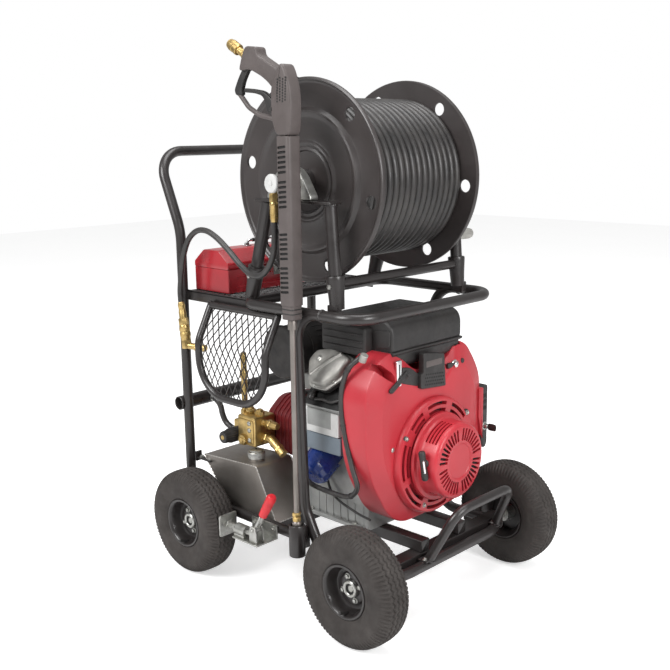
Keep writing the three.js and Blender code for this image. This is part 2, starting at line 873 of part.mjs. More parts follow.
add("gun_body", gunBody(), blackPlastic, gun);
add("trigger", trigger(), blackPlastic, gun);
add("gun_coupler", gunCoupler(), brass, gun);

// ---------------------------------------------------------------- tool box

const boxFront = shelfBack + 12 + boxWidth;
const boxBack = boxFront - boxWidth;
const boxNear = -(railHalf - tubeRadius - 8);
const boxFar = boxNear + boxLength;
const boxBase = shelfTop + GAP;
const seam = boxBase + boxHeight * 0.56;

function toolboxBody() {
  const shell = box(boxBack, boxFront, boxNear, boxFar, boxBase, seam);
  const room = box(boxBack + 2, boxFront - 2, boxNear + 2, boxFar - 2, boxBase + 2, seam + 10);
  return cut(shell, room);
}

function toolboxLid() {
  const outline = (inset, low) => [
    [boxBack + inset, low],
    [boxFront - inset, low],
    [boxFront - inset, boxBase + boxHeight * 0.7 - inset / 2],
    [boxFront - 38, boxBase + boxHeight - inset],
    [boxBack + 38, boxBase + boxHeight - inset],
    [boxBack + inset, boxBase + boxHeight * 0.7 - inset / 2],
  ];
  const shell = slab(outline(0, seam + GAP), "y", boxNear, boxFar);
  const room = slab(outline(2.5, seam - 5), "y", boxNear + 2, boxFar - 2);
  const middle = (boxNear + boxFar) / 2;
  const [hx, top] = [(boxBack + boxFront) / 2, boxBase + boxHeight];
  const handle = bentTube(
    [
      [hx, middle - 48, top - 1],
      [hx, middle - 40, top + 14],
      [hx, middle + 40, top + 14],
      [hx, middle + 48, top - 1],
    ].map((corner) => point(...corner)),
    4.5,
    8,
    { sides: 8, arcSteps: 2 },
  );
  return join(cut(shell, room), handle);
}

add("toolbox_body", toolboxBody(), redPaint);
add("toolbox_lid", toolboxLid(), redPaint);
const latchY = (boxNear + boxFar) / 2;
add("toolbox_latch", box(boxFront + GAP, boxFront + 4, latchY - 16, latchY + 16, seam - 26, seam + 10), zinc);

// ---------------------------------------------------------------- pump, its fittings and the fuel tank

const blockBack = -30;
const crankcaseFront = blockBack - GAP - 42;
const crankcaseBack = crankcaseFront - 128;
const manifoldFar = -112;
const manifoldNear = -188;

function pumpCrankcase() {
  const outline = [
    [-108, crankHeight - 62],
    [62, crankHeight - 68],
    [70, crankHeight + 30],
    [40, crankHeight + 72],
    [-60, crankHeight + 78],
    [-108, crankHeight + 40],
  ];
  const body = slab(outline, "x", crankcaseBack, crankcaseFront, 14);
  const adapter = turned(
    [
      [0, crankcaseFront - 4],
      [58, crankcaseFront - 4],
      [72, blockBack - GAP],
      [0, blockBack - GAP],
    ],
    "x",
    point(0, 0, crankHeight),
    24,
  );
  return join(body, adapter);
}

add("pump_crankcase", pumpCrankcase(), redPaint);

const manifoldBack = crankcaseBack - 26;
const manifoldFront = crankcaseBack + 40;
const manifoldLow = crankHeight - 35;
const manifoldMiddle = (manifoldNear + manifoldFar) / 2;
const unloaderBack = manifoldBack - 54;
const unloaderNear = manifoldNear + 38;
const unloaderZ = crankHeight - 20;

// The pump's head with its valve plugs, two outlets, a riser and the unloader's body.
function pumpManifold() {
  const [y0, y1] = [manifoldNear + 6, manifoldFar - GAP];
  const [plugX, riserX, riserY] = [manifoldBack + 24, manifoldBack - 30, y1 - 18];
  const pieces = [
    box(manifoldBack, manifoldFront, y0, y1, manifoldLow, crankHeight + 42),
    box(unloaderBack, manifoldBack + 4, unloaderNear, y1 - 4, unloaderZ - 20, unloaderZ + 32),
    rod(point(plugX, y0 + 4, unloaderZ), point(plugX, manifoldNear, unloaderZ), 15, 6),
    rod(point(riserX, riserY, unloaderZ), point(riserX, riserY, crankHeight + 190), 8, 12),
  ];
  for (const share of [0.25, 0.75]) {
    const x = THREE.MathUtils.lerp(manifoldBack, manifoldFront, share);
    const capBase = point(x, manifoldMiddle, crankHeight);
    pieces.push(rod(capBase, capBase.clone().add(point(0, 0, 58)), 13, 6));
  }
  const outlet = point(manifoldFront - 6, manifoldMiddle, crankHeight + 24);
  pieces.push(rod(outlet, outlet.clone().add(point(56, 0, 0)), 10, 12));
  const inlet = [
    [manifoldFront - 6, manifoldMiddle, crankHeight - 14],
    [manifoldFront + 26, manifoldMiddle, crankHeight - 14],
    [manifoldFront + 70, manifoldMiddle, crankHeight - 44],
  ];
  pieces.push(bentTube(inlet.map((corner) => point(...corner)), 12, 24));
  return join(...pieces);
}

add("pump_manifold", pumpManifold(), brass);

const knobX = manifoldBack - 26;
const knobInner = unloaderNear - GAP;
const knobProfile = [
  [0, knobInner - 62],
  [16, knobInner - 62],
  [19, knobInner - 58],
  [19, knobInner - 4],
  [16, knobInner],
  [0, knobInner],
];
add("unloader_knob", turned(knobProfile, "y", point(knobX, 0, unloaderZ), 18), blackPlastic);

const bypassPoints = [
  point(crossTubeX + crossTubeRadius + GAP, unloaderNear, crossTubeZ),
  point(-352, unloaderNear, 409),
  point(-336, unloaderNear + 2, 394),
  point(-331, unloaderNear + 5, 368),
  point(-322, unloaderNear + 8, 349),
  point(unloaderBack - 18, unloaderNear + 10, unloaderZ),
  point(unloaderBack - GAP, unloaderNear + 10, unloaderZ),
];
add("bypass_hose", hose(bypassPoints, 8, 20), hoseRubber);

// A welded wedge of a tank with a filler neck near its forward corner.
const tankNear = -(railHalf - tubeRadius - GAP);
const tankFar = -96;
const fillerX = tankBack + 163;
const fillerY = tankNear + 40;
const neckTop = tankTop + 8;

function fuelTank() {
  const outline = [
    [tankBack, tankTop - 8],
    [tankBack + 92, 164],
    [tankBack + 276, 158],
    [tankBack + 206, tankTop + 4],
  ];
  const body = slab(outline, "y", tankNear, tankFar, 5);
  const neck = rod(point(fillerX, fillerY, tankTop - 10), point(fillerX, fillerY, neckTop), 19, 20);
  const bracket = box(uprightX, tankBack + 30, -railHalf + 6, -railHalf + 26, tankTop - 24, tankTop - 10);
  const footX = -95;
  const feet = [tankNear + 25, tankFar - 32].map((y) =>
    rod(point(footX, y, railUnder), point(footX, y, 170), 10, 12),
  );
  return cut(join(body, neck, bracket, ...feet), uprightRod(tubeRadius + GAP));
}

add("fuel_tank", fuelTank(), tankSteel);
const capProfile = [
  [0, neckTop + GAP],
  [22, neckTop + GAP],
  [22, neckTop + 16],
  [17, neckTop + 21],
  [0, neckTop + 24],
];
add("fuel_cap", turned(capProfile, "z", point(fillerX, fillerY, 0), 20), zinc);

// ---------------------------------------------------------------- wheel brake

const brakeY = -track / 2;
const brakeZ = 158;
const padFace = -wheelbase / 2 + Math.sqrt(wheelRadius ** 2 - (brakeZ - wheelRadius) ** 2) + 3.5;
const plungerEnd = padFace + 92;
const brakePivot = point(padFace + 108, brakeY, brakeZ + 16);

function brakePlunger() {
  const pad = box(padFace, padFace + 5, brakeY - 27, brakeY + 27, brakeZ - 27, brakeZ + 27);
  const stem = rod(point(padFace + 4, brakeY, brakeZ), point(plungerEnd, brakeY, brakeZ), 7, 14);
  const nut = rod(point(padFace + 4, brakeY, brakeZ), point(padFace + 12, brakeY, brakeZ), 12, 6);
  return join(pad, stem, nut);
}

// The base: an angle plate on the rail, a bushing round the plunger and two ears for the handle.
function brakeBase() {
  const [x0, x1] = [padFace + 38, padFace + 128];
  const railSide = -railHalf - tubeRadius - GAP;
  const floor = box(x0, x1, brakeY - 18, railSide, brakeZ - 20, brakeZ - 15);
  const flange = box(x0, x1, railSide - 4, railSide, brakeZ - 20, brakeZ + 16);
  const bushing = rod(point(x0, brakeY, brakeZ), point(x0 + 36, brakeY, brakeZ), 14, 16);
  const foot = box(x0, x0 + 36, brakeY - 12, brakeY + 12, brakeZ - 16, brakeZ - 6);
  const bore = rod(point(x0 - 5, brakeY, brakeZ), point(x0 + 50, brakeY, brakeZ), 7 + GAP, 20);
  const ears = [-1, 1].map((side) => {
    const [a, b] = [brakeY + side * 9, brakeY + side * 13].sort((p, q) => p - q);
    return box(brakePivot.x - 12, brakePivot.x + 14, a, b, brakeZ - 17, brakePivot.z + 10);
  });
  return cut(join(floor, flange, bushing, foot, ...ears), bore);
}

function brakeHandle() {
  const grip = point(62, 0, 100);
  const along = grip.clone().normalize();
  const at = (length) => brakePivot.clone().addScaledVector(along, length);
  const hub = rod(
    brakePivot.clone().add(point(0, -8.5, 0)),
    brakePivot.clone().add(point(0, 8.5, 0)),
    8,
    14,
  );
  return join(hub, rod(at(0), at(52), 6, 8), rod(at(48), at(116), 10.5, 14, 12));
}

add("brake_base", brakeBase(), zinc);
add("brake_plunger", brakePlunger(), zinc);
add("brake_handle", brakeHandle(), redGrip);

// ---------------------------------------------------------------- engine

const engineBase = 175 + GAP;
const cylinderX = 95;
const blockHalf = 128;

const muffler = {
  x: -92,
  z: 574,
  radius: 66,
};

// A cylinder of the V with its head and ribbed cover, pointing up and out at 45 degrees.
function cylinder(side) {
  const out = point(0, side * Math.SQRT1_2, Math.SQRT1_2);
  const start = point(cylinderX, 0, crankHeight + 20);
  const at = (length) => start.clone().addScaledVector(out, length);
  const shape = (length, depth, across, along) => {
    const geometry = new THREE.BoxGeometry(along, depth, across);
    const turn = new THREE.Quaternion().setFromUnitVectors(point(0, 1, 0), out);
    const place = at(length + depth / 2);
    return geometry.applyQuaternion(turn).translate(place.x, place.y, place.z);
  };
  return [shape(60, 110, 130, 118), shape(165, 60, 140, 128), shape(222, 26, 112, 104)];
}

function engineBlock() {
  const outline = [
    [-blockHalf, engineBase],
    [blockHalf, engineBase],
    [blockHalf, 340],
    [112, 440],
    [60, 520],
    [-60, 520],
    [-112, 440],
    [-blockHalf, 340],
  ];
  const block = slab(outline, "x", blockBack, shroudBackX - GAP, 18);
  const saddle = box(muffler.x - 18, blockBack + 8, -60, 60, 462, 530);
  return join(block, saddle, ...cylinder(-1), ...cylinder(1));
}

const shroudOutline = [
  [-212, 392],
  [-214, 520],
  [-205, 556],
  [-168, 606],
  [-120, 622],
  [-40, 560],
  [60, 560],
  [110, 610],
  [150, 596],
  [188, 545],
  [208, 505],
  [208, 330],
  [166, 232],
  [120, 206],
  [-90, 206],
  [-140, 240],
  [-192, 330],
];

function fanShroud() {
  const shell = slab(shroudOutline, "x", shroudBackX, shroudFrontX, 22);
  const ring = turned(
    [
      [0, shroudFrontX - 4],
      [138, shroudFrontX - 4],
      [132, shroudFrontX + 22],
      [0, shroudFrontX + 22],
    ],
    "x",
    point(0, 0, crankHeight),
    32,
  );
  return join(shell, ring);
}

const recoilBase = shroudFrontX + 22 + GAP;
const recoilFace = recoilBase + 62;
const recoilRadius = 90;

function recoilCover() {
  const profile = [
    [0, recoilBase],
    [104, recoilBase],
    [102, recoilBase + 8],
    [recoilRadius, recoilBase + 14],
    [recoilRadius, recoilFace - 10],
    [recoilRadius - 8, recoilFace],
    [0, recoilFace],
  ];
  return turned(profile, "x", point(0, 0, crankHeight), 32);
}

const pullRadius = 8;
const pullPoint = point(recoilBase + 34, -(recoilRadius + pullRadius + 1), crankHeight + 8);

// The pull handle hangs by the starter's side, at the eyelet of its rope.
function pullHandle() {
  const tilt = point(0.1, 0.08, -1).normalize();
  const from = pullPoint.clone().addScaledVector(tilt, -34);
  const to = pullPoint.clone().addScaledVector(tilt, 34);
  return rod(from, to, pullRadius, 12);
}

const cleanerBottom = 596;
const cleanerTop = deckHeight - tubeRadius - 7;

function airCleaner() {
  const outline = [
    [44, cleanerBottom + 28],
    [232, cleanerBottom],
    [246, cleanerBottom + 30],
    [246, cleanerTop - 26],
    [222, cleanerTop],
    [52, cleanerTop],
    [44, cleanerTop - 12],
  ];
  return slab(outline, "y", -126, 122, 8);
}

function mufflerGeometry() {
  const profile = [
    [0, -150],
    [muffler.radius - 6, -150],
    [muffler.radius, -142],
    [muffler.radius, 182],
    [muffler.radius - 6, 190],
    [0, 190],
  ];
  return turned(profile, "y", point(muffler.x, 0, muffler.z), 24);
}

function grow(geometry, amount) {
  const [box3, size, middle] = [new THREE.Box3(), new THREE.Vector3(), new THREE.Vector3()];
  box3.setFromBufferAttribute(geometry.getAttribute("position"));
  box3.getSize(size);
  box3.getCenter(middle);
  const bigger = geometry.clone().translate(-middle.x, -middle.y, -middle.z);
  bigger.scale(1 + (2 * amount) / size.x, 1 + (2 * amount) / size.y, 1 + (2 * amount) / size.z);
  return bigger.translate(middle.x, middle.y, middle.z);
}

const block = cut(engineBlock(), grow(airCleaner(), GAP), grow(mufflerGeometry(), GAP));
add("engine_block", block, alloy);
add("fan_shroud", cut(fanShroud(), grow(airCleaner(), GAP)), redPlastic);
add("recoil_cover", recoilCover(), redPlastic);
add("pull_handle", pullHandle(), blackPlastic);
add("air_cleaner", airCleaner(), blackPlastic);
add("muffler", mufflerGeometry(), blackPaint);

// The oil filter leans down and outwards from a pad on the block's near side.
function oilFilter() {
  const profile = [
    [0, -30],
    [40, -30],
    [41, 52],
    [36, 66],
    [30, 72],
    [0, 72],
  ];
  const lean = THREE.MathUtils.degToRad(35);
  const canister = turned(profile, "z", point(0, 0, 0), 20).rotateX(Math.PI / 2 + lean);
  const placed = canister.translate(50, -blockHalf - 6, 345);
  return cut(placed, box(-20, 120, -blockHalf - GAP, 0, 200, 480));
}

add("oil_filter", oilFilter(), filterBlue);

const boxInner = 208 + GAP;
const controlBox = box(shroudFrontX - 58, shroudFrontX - 6, boxInner, boxInner + 26, 312, 480);
add("control_box", controlBox, blackPlastic);
const keyPlace = point(shroudFrontX - 6 + GAP, boxInner + 13, 372);
const key = join(
  rod(keyPlace, keyPlace.clone().add(point(10, 0, 0)), 6, 12),
  box(keyPlace.x + 8, keyPlace.x + 34, keyPlace.y - 1.5, keyPlace.y + 1.5, keyPlace.z - 9, keyPlace.z + 9),
);
add("ignition_key", key, blackPlastic);
const leverPivot = point(shroudFrontX + GAP, -96, 566);
const lever = join(
  rod(leverPivot, leverPivot.clone().add(point(8, 0, 0)), 9, 14),
  slab(
    [
      [leverPivot.y - 5, leverPivot.z - 7],
      [leverPivot.y - 52, leverPivot.z - 34],
      [leverPivot.y - 58, leverPivot.z - 24],
      [leverPivot.y - 5, leverPivot.z + 7],
    ],
    "x",
    leverPivot.x + 1,
    leverPivot.x + 7,
  ),
);
add("throttle_lever", lever, blackPlastic);

// ---------------------------------------------------------------- origin

const bounds = new THREE.Box3();
washer.updateMatrixWorld(true);
washer.traverse((piece) => {
  if (piece.isMesh && piece.name !== "feed_hose") bounds.expandByObject(piece, true);
});
const middle = bounds.getCenter(new THREE.Vector3());
const root = new THREE.Group();
washer.position.set(-middle.x, -middle.y, -bounds.min.z);
root.add(washer);

export default root;
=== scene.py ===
"""Pressure washer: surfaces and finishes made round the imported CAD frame."""

import json
import math

import bmesh
import bpy
import numpy as np
from bpy.props import FloatProperty, FloatVectorProperty, IntProperty, PointerProperty
from mathutils import Matrix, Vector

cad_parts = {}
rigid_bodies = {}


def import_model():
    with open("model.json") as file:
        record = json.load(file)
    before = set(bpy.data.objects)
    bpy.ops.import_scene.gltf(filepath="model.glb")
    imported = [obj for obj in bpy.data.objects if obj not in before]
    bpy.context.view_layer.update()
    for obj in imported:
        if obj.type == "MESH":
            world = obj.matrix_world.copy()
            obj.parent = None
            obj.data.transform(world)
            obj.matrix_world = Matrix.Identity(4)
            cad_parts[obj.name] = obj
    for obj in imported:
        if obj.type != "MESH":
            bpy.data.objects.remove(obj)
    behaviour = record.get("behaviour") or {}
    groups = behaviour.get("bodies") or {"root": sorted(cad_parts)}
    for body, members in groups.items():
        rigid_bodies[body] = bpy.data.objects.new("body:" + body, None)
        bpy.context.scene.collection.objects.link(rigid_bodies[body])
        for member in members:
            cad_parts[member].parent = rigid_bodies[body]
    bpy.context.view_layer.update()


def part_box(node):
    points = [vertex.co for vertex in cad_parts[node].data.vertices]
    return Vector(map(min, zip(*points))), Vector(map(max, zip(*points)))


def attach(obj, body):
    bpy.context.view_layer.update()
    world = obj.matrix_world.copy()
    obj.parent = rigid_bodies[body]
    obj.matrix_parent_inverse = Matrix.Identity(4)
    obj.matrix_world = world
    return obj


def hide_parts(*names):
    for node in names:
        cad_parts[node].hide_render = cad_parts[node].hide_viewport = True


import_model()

bl_info = {
    "name": "Pressure washer",
    "version": (1, 0, 0),
    "blender": (4, 5, 0),
    "location": "3D View > Sidebar > Washer",
    "description": "Builds an engine-driven pressure washer on a four-wheel cart",
    "category": "Object",
}

MM = 0.001
WELD = 2e-6
X, Y, Z = np.eye(3)


def middle(node):
    """The centre of a CAD node's box, in metres."""
    low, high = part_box(node)
    return (np.array(low) + np.array(high)) / 2


WHEELS_MIDDLE = (middle("tyre_rear_near")[0] + middle("tyre_front_near")[0]) / 2
SHIFT = np.array((WHEELS_MIDDLE, 0.0, 0.0))


def span(node):
    """A CAD node's lowest and highest corners, in millimetres from midway between the wheels."""
    low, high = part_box(node)
    return (np.array(low) - SHIFT) / MM, (np.array(high) - SHIFT) / MM


def core(node):
    """The centre of a CAD node's box, in millimetres from midway between the wheels."""
    return (middle(node) - SHIFT) / MM


# ---------------------------------------------------------------- sizes taken from the frame

TUBE = 12.7
GAP = 0.3
WHEEL_R = span("tyre_rear_near")[1][2] / 2
REEL = core("hose_pack")
FLANGE_R = (span("reel_flange_near")[1][2] - span("reel_flange_near")[0][2]) / 2
HOOP_X = span("hoop_near")[0][0] + TUBE
DECK_Z = core("deck_front_bar")[2]
DECK_Y = span("deck_front_bar")[1][1] - TUBE
DECK_FRONT = span("deck_front_bar")[1][0] - TUBE
DECK_BACK = span("deck_back_bar")[0][0] + TUBE
RAIL_Y = span("main_frame_tube")[1][1] - TUBE
RAIL_Z = span("main_frame_tube")[0][2] + TUBE
CRANK_Z = core("recoil_cover")[2]
LANCE = core("lance_tube")
GUN_Z = span("lance_grip")[1][2]


# ---------------------------------------------------------------- what a user may change


class WasherSizes(bpy.types.PropertyGroup):
    """Sizes of the details, in millimetres."""

    tread_depth: FloatProperty(
        name="Tread depth", description="Depth of the grooves in the tyres", default=3.6, min=0
    )
    hose_pitch: FloatProperty(
        name="Hose pitch", description="Space that one turn of the wound hose takes", default=20.0
    )
    hose_radius: FloatProperty(name="Hose radius", description="Outer radius of the wound hose", default=9.7)
    mesh_width: FloatProperty(
        name="Mesh width", description="Width of one diamond of the metal mesh", default=22.0
    )
    mesh_height: FloatProperty(
        name="Mesh height", description="Height of one diamond of the metal mesh", default=38.0
    )
    cooling_slots: IntProperty(
        name="Cooling slots", description="Radial slots in the starter's face", default=40
    )


class WasherColours(bpy.types.PropertyGroup):
    """Main colours of the finishes."""

    paint: FloatVectorProperty(
        name="Frame paint", description="Powder coat", subtype="COLOR", size=4,
        default=(0.02, 0.0165, 0.016, 1)
    )
    red: FloatVectorProperty(
        name="Engine red", description="Moulded covers", subtype="COLOR", size=4,
        default=(0.45, 0.026, 0.038, 1)
    )
    box_red: FloatVectorProperty(
        name="Tool box red", description="Glossy paint", subtype="COLOR", size=4,
        default=(0.38, 0.022, 0.03, 1)
    )
    brass: FloatVectorProperty(
        name="Brass", description="Fittings", subtype="COLOR", size=4, default=(0.56, 0.4, 0.16, 1)
    )
    filter_blue: FloatVectorProperty(
        name="Filter blue", description="Oil filter", subtype="COLOR", size=4, default=(0.012, 0.035, 0.19, 1)
    )


def sizes():
    return bpy.context.scene.washer_sizes


def colours():
    return bpy.context.scene.washer_colours


# ---------------------------------------------------------------- surfaces


class Shape:
    """Surfaces gathered into one mesh, in millimetres from midway between the wheels."""

    def __init__(self):
        self.points = []
        self.quads = []
        self.caps = []
        self.quad_slots = []
        self.cap_slots = []
        self.size = 0

    def grid(self, points, slot=0, wrap_rows=False, wrap_columns=False, keep=None):
        """Four-sided faces between the neighbours in an array of rows and columns of points."""
        rows, columns = points.shape[:2]
        index = self.size + np.arange(rows * columns).reshape(rows, columns)
        if wrap_rows:
            index = np.vstack((index, index[:1]))
        if wrap_columns:
            index = np.hstack((index, index[:, :1]))
        quads = np.stack((index[:-1, :-1], index[1:, :-1], index[1:, 1:], index[:-1, 1:]), axis=-1)
        quads = quads[keep] if keep is not None else quads.reshape(-1, 4)
        self.quads.append(quads)
        self.quad_slots.append(np.full(len(quads), slot))
        self.points.append(points.reshape(-1, 3))
        self.size += rows * columns

    def cap(self, ring, slot=0):
        """One flat face inside a ring of points."""
        self.caps.append(list(range(self.size, self.size + len(ring))))
        self.cap_slots.append(slot)
        self.points.append(np.asarray(ring, float))
        self.size += len(ring)


def unit(vector):
    vector = np.asarray(vector, float)
    return vector / np.linalg.norm(vector, axis=-1, keepdims=True)


def basis(direction):
    """Two directions square to a given one, then that one. Facing X they are Y and Z, facing Z X and Y."""
    ahead = unit(direction)
    seed = Z if abs(ahead[2]) < 0.9 else Y
    across = unit(np.cross(seed, ahead))
    return across, np.cross(ahead, across), ahead


def ring_angles(count, start=0.0):
    return start + 2 * np.pi * np.arange(count) / count


def sweep(shape, path, radius, sides=20, slot=0):
    """A circle carried along a path, square to it, with flat ends. radius may change along it."""
    path = np.asarray(path, float)
    ahead = unit(np.gradient(path, axis=0))
    across = unit(np.cross(ahead, unit((1.0, 0.31, 0.57))))
    lift = np.cross(ahead, across)
    angle = ring_angles(sides)[None, :, None]
    reach = np.broadcast_to(np.asarray(radius, float), (len(path),))[:, None, None]
    rings = path[:, None] + reach * (np.cos(angle) * across[:, None] + np.sin(angle) * lift[:, None])
    shape.grid(rings, slot, wrap_columns=True)
    shape.cap(rings[0], slot)
    shape.cap(rings[-1], slot)


def turn(shape, profile, centre, direction=Z, segments=48, slot=0, flutes=0, depth=0.0):
    """(radius, height) pairs turned about a direction; flutes make the radius rise and fall round it."""
    across, lift, ahead = basis(direction)
    profile = np.asarray(profile, float)
    angle = ring_angles(segments)[:, None, None]
    radius = profile[:, 0][None, :, None] + depth * np.cos(flutes * angle) * (
        profile[:, 0] > 0
    )[None, :, None]
    points = np.asarray(centre, float) + radius * (np.cos(angle) * across + np.sin(angle) * lift)
    shape.grid(points + profile[:, 1][None, :, None] * ahead, slot, wrap_rows=True)


def counterclockwise(outline):
    outline = np.asarray(outline, float)
    ahead = np.roll(outline, -1, axis=0)
    area = np.sum(outline[:, 0] * ahead[:, 1] - ahead[:, 0] * outline[:, 1])
    return outline if area > 0 else outline[::-1]


def drawn_in(outline, amount):
    """An outline with every edge moved inwards by an amount: each corner moves along its bisector."""
    before = unit(outline - np.roll(outline, 1, axis=0))
    after = unit(np.roll(outline, -1, axis=0) - outline)
    left_before = np.stack((-before[:, 1], before[:, 0]), axis=1)
    left_after = np.stack((-after[:, 1], after[:, 0]), axis=1)
    share = amount / (1 + np.sum(left_before * left_after, axis=1, keepdims=True))
    return outline + (left_before + left_after) * share


def softened(outline, radius, steps=6):
    """An outline with each corner replaced by a curve whose ends lie a radius from the corner."""
    outline = counterclockwise(outline)
    share = np.linspace(0, 1, steps)[:, None]
    rounded = []
    for corner, before, after in zip(outline, np.roll(outline, 1, axis=0), np.roll(outline, -1, axis=0)):
        reach = min(radius, np.linalg.norm(before - corner) / 2.05, np.linalg.norm(after - corner) / 2.05)
        start = corner + unit(before - corner) * reach
        end = corner + unit(after - corner) * reach
        rounded.append(start * (1 - share) ** 2 + corner * 2 * share * (1 - share) + end * share**2)
    return np.concatenate(rounded)


def prism(shape, outline, origin, direction, height, bevel=0.0, slot=0, steps=4):
    """An outline carried along a direction, its two rims rounded as quarter circles."""
    outline = counterclockwise(outline)
    across, lift, ahead = basis(direction)
    if bevel > 0:
        angle = np.linspace(0, np.pi / 2, steps)
        inset = bevel * (1 - np.sin(angle))
        rise = bevel * (1 - np.cos(angle))
        inset = np.concatenate((inset, inset[::-1]))
        rise = np.concatenate((rise, height - rise[::-1]))
    else:
        inset, rise = np.zeros(2), np.array((0.0, height))
    rings = np.stack([
        np.asarray(origin, float)
        + ring[:, :1] * across
        + ring[:, 1:] * lift
        + up * ahead
        for ring, up in zip([drawn_in(outline, amount) for amount in inset], rise)
    ])
    shape.grid(rings, slot, wrap_columns=True)
    shape.cap(rings[0], slot)
    shape.cap(rings[-1], slot)


FACING = {"x": X, "y": -Y, "z": Z}


def plate(shape, outline, axis, low, high, bevel=0.0, slot=0, steps=4):
    """An outline carried along an axis: across X it is in (y, z), across Y (x, z), across Z (x, y)."""
    origin = {"x": X * low, "y": Y * high, "z": Z * low}[axis]
    prism(shape, outline, origin, FACING[axis], high - low, bevel, slot, steps)


def rectangle(left, right, low, high, radius=0.0):
    corners = [(left, low), (right, low), (right, high), (left, high)]
    return softened(corners, radius) if radius > 0 else np.array(corners, float)


def block(shape, low, high, bevel=1.5, radius=0.0, axis="z", slot=0):
    """A box with rounded rims, and with rounded corners round one axis."""
    low, high = np.asarray(low, float), np.asarray(high, float)
    a, b, c = {"x": (1, 2, 0), "y": (0, 2, 1), "z": (0, 1, 2)}[axis]
    outline = rectangle(low[a], high[a], low[b], high[b], max(radius, 0.6 * bevel))
    plate(shape, outline, axis, low[c], high[c], bevel, slot)


def polygon(radius, sides, start=0.0):
    angle = ring_angles(sides, start)
    return np.stack((radius * np.cos(angle), radius * np.sin(angle)), axis=1)


def hexagon(shape, base, direction, radius, height, slot=0):
    """A nut or a bolt head, its rims slightly rounded."""
    prism(shape, polygon(radius, 6), base, direction, height, 0.12 * radius, slot, 3)


def bolt(shape, base, direction, radius=6.0, height=5.0, slot=0):
    """A washer, a hexagonal head and a small dome on it."""
    base, direction = np.asarray(base, float), unit(direction)
    washer = [(0, 0), (1.35 * radius, 0), (1.35 * radius, 1.2), (1.2 * radius, 1.6), (0, 1.6)]
    turn(shape, washer, base, direction, 24, slot)
    hexagon(shape, base + 1.5 * direction, direction, radius, height, slot)
    dome = [(0.72 * radius, 0), (0.6 * radius, 0.12 * radius), (0, 0.2 * radius)]
    turn(shape, dome, base + (1.5 + height) * direction, direction, 20, slot)


def rod(shape, start, end, radius, sides=24, slot=0, end_radius=None, rim=0.8):
    """A straight round bar with slightly rounded rims, tapered if its end has another radius."""
    start, end = np.asarray(start, float), np.asarray(end, float)
    length = np.linalg.norm(end - start)
    other = radius if end_radius is None else end_radius
    profile = [
        (0, 0), (radius - rim, 0), (radius, rim), (other, length - rim), (other - rim, length), (0, length)
    ]
    turn(shape, profile, start, end - start, sides, slot)


def bent(corners, radii, steps=10):
    """The centre line of a bent tube: straight runs joined by arcs. Each arc touches both of its runs."""
    corners = np.asarray(corners, float)
    radii = np.broadcast_to(radii, (len(corners) - 2,))
    path = [corners[:1]]
    for before, corner, after, radius in zip(corners[:-2], corners[1:-1], corners[2:], radii):
        into, out = unit(corner - before), unit(after - corner)
        angle = np.arccos(np.clip(into @ out, -1, 1))
        centre = corner + unit(out - into) * radius / np.cos(angle / 2)
        arm = corner - into * radius * np.tan(angle / 2) - centre
        along = into * np.linalg.norm(arm)
        turned = np.linspace(0, angle, steps)[:, None]
        path.append(centre + arm * np.cos(turned) + along * np.sin(turned))
    path.append(corners[-1:])
    path = np.concatenate(path)
    steps_apart = np.linalg.norm(np.diff(path, axis=0), axis=1) > 1e-6
    return path[np.concatenate(([True], steps_apart))]


def spline(points, count):
    """A centripetal Catmull-Rom curve: each knot's spacing is the square root of the distance."""
    points = np.asarray(points, float)
    ends = (2 * points[:1] - points[1:2], 2 * points[-1:] - points[-2:-1])
    p = np.concatenate((ends[0], points, ends[1]))
    knots = np.concatenate(([0.0], np.cumsum(np.linalg.norm(np.diff(p, axis=0), axis=1) ** 0.5)))
    t = np.linspace(knots[1], knots[-2], count)
    k = np.clip(np.searchsorted(knots, t, side="right") - 1, 1, len(p) - 3)
    t = t[:, None]
    k0, k1, k2, k3 = (knots[k + i][:, None] for i in (-1, 0, 1, 2))
    p0, p1, p2, p3 = (p[k + i] for i in (-1, 0, 1, 2))
    a1 = p0 * (k1 - t) / (k1 - k0) + p1 * (t - k0) / (k1 - k0)
    a2 = p1 * (k2 - t) / (k2 - k1) + p2 * (t - k1) / (k2 - k1)
    a3 = p2 * (k3 - t) / (k3 - k2) + p3 * (t - k2) / (k3 - k2)
    b1 = a1 * (k2 - t) / (k2 - k0) + a2 * (t - k0) / (k2 - k0)
    b2 = a2 * (k3 - t) / (k3 - k1) + a3 * (t - k1) / (k3 - k1)
    return b1 * (k2 - t) / (k2 - k1) + b2 * (t - k1) / (k2 - k1)


def corner_cut(points, times):
    """Chaikin's curve: each edge is cut a quarter from both ends, time after time. The ends stay."""
    points = np.asarray(points, float)
    for _ in range(times):
        near = 0.75 * points[:-1] + 0.25 * points[1:]
        far = 0.25 * points[:-1] + 0.75 * points[1:]
        between = np.stack((near, far), axis=1).reshape(-1, points.shape[1])
        points = np.concatenate((points[:1], between, points[-1:]))
    return points


def evenly(points, count):
    """A path walked again in equal steps."""
    run = np.concatenate(([0.0], np.cumsum(np.linalg.norm(np.diff(points, axis=0), axis=1))))
    wanted = np.linspace(0, run[-1], count)
    return np.stack([np.interp(wanted, run, column) for column in points.T], axis=1)


def weld(shape, centre, direction, radius, slot=0, bead=2.4):
    """A weld round a tube: a small ring whose thickness ripples."""
    across, lift, ahead = basis(direction)
    around = ring_angles(72)[:, None, None]
    section = ring_angles(8)[None, :, None]
    thick = bead * (1 + 0.16 * np.cos(26 * around))
    outwards = np.cos(around) * across + np.sin(around) * lift
    points = np.asarray(centre, float) + outwards * (radius + thick * np.cos(section) * 0.8)
    shape.grid(points + ahead * thick * np.sin(section), slot, wrap_rows=True, wrap_columns=True)


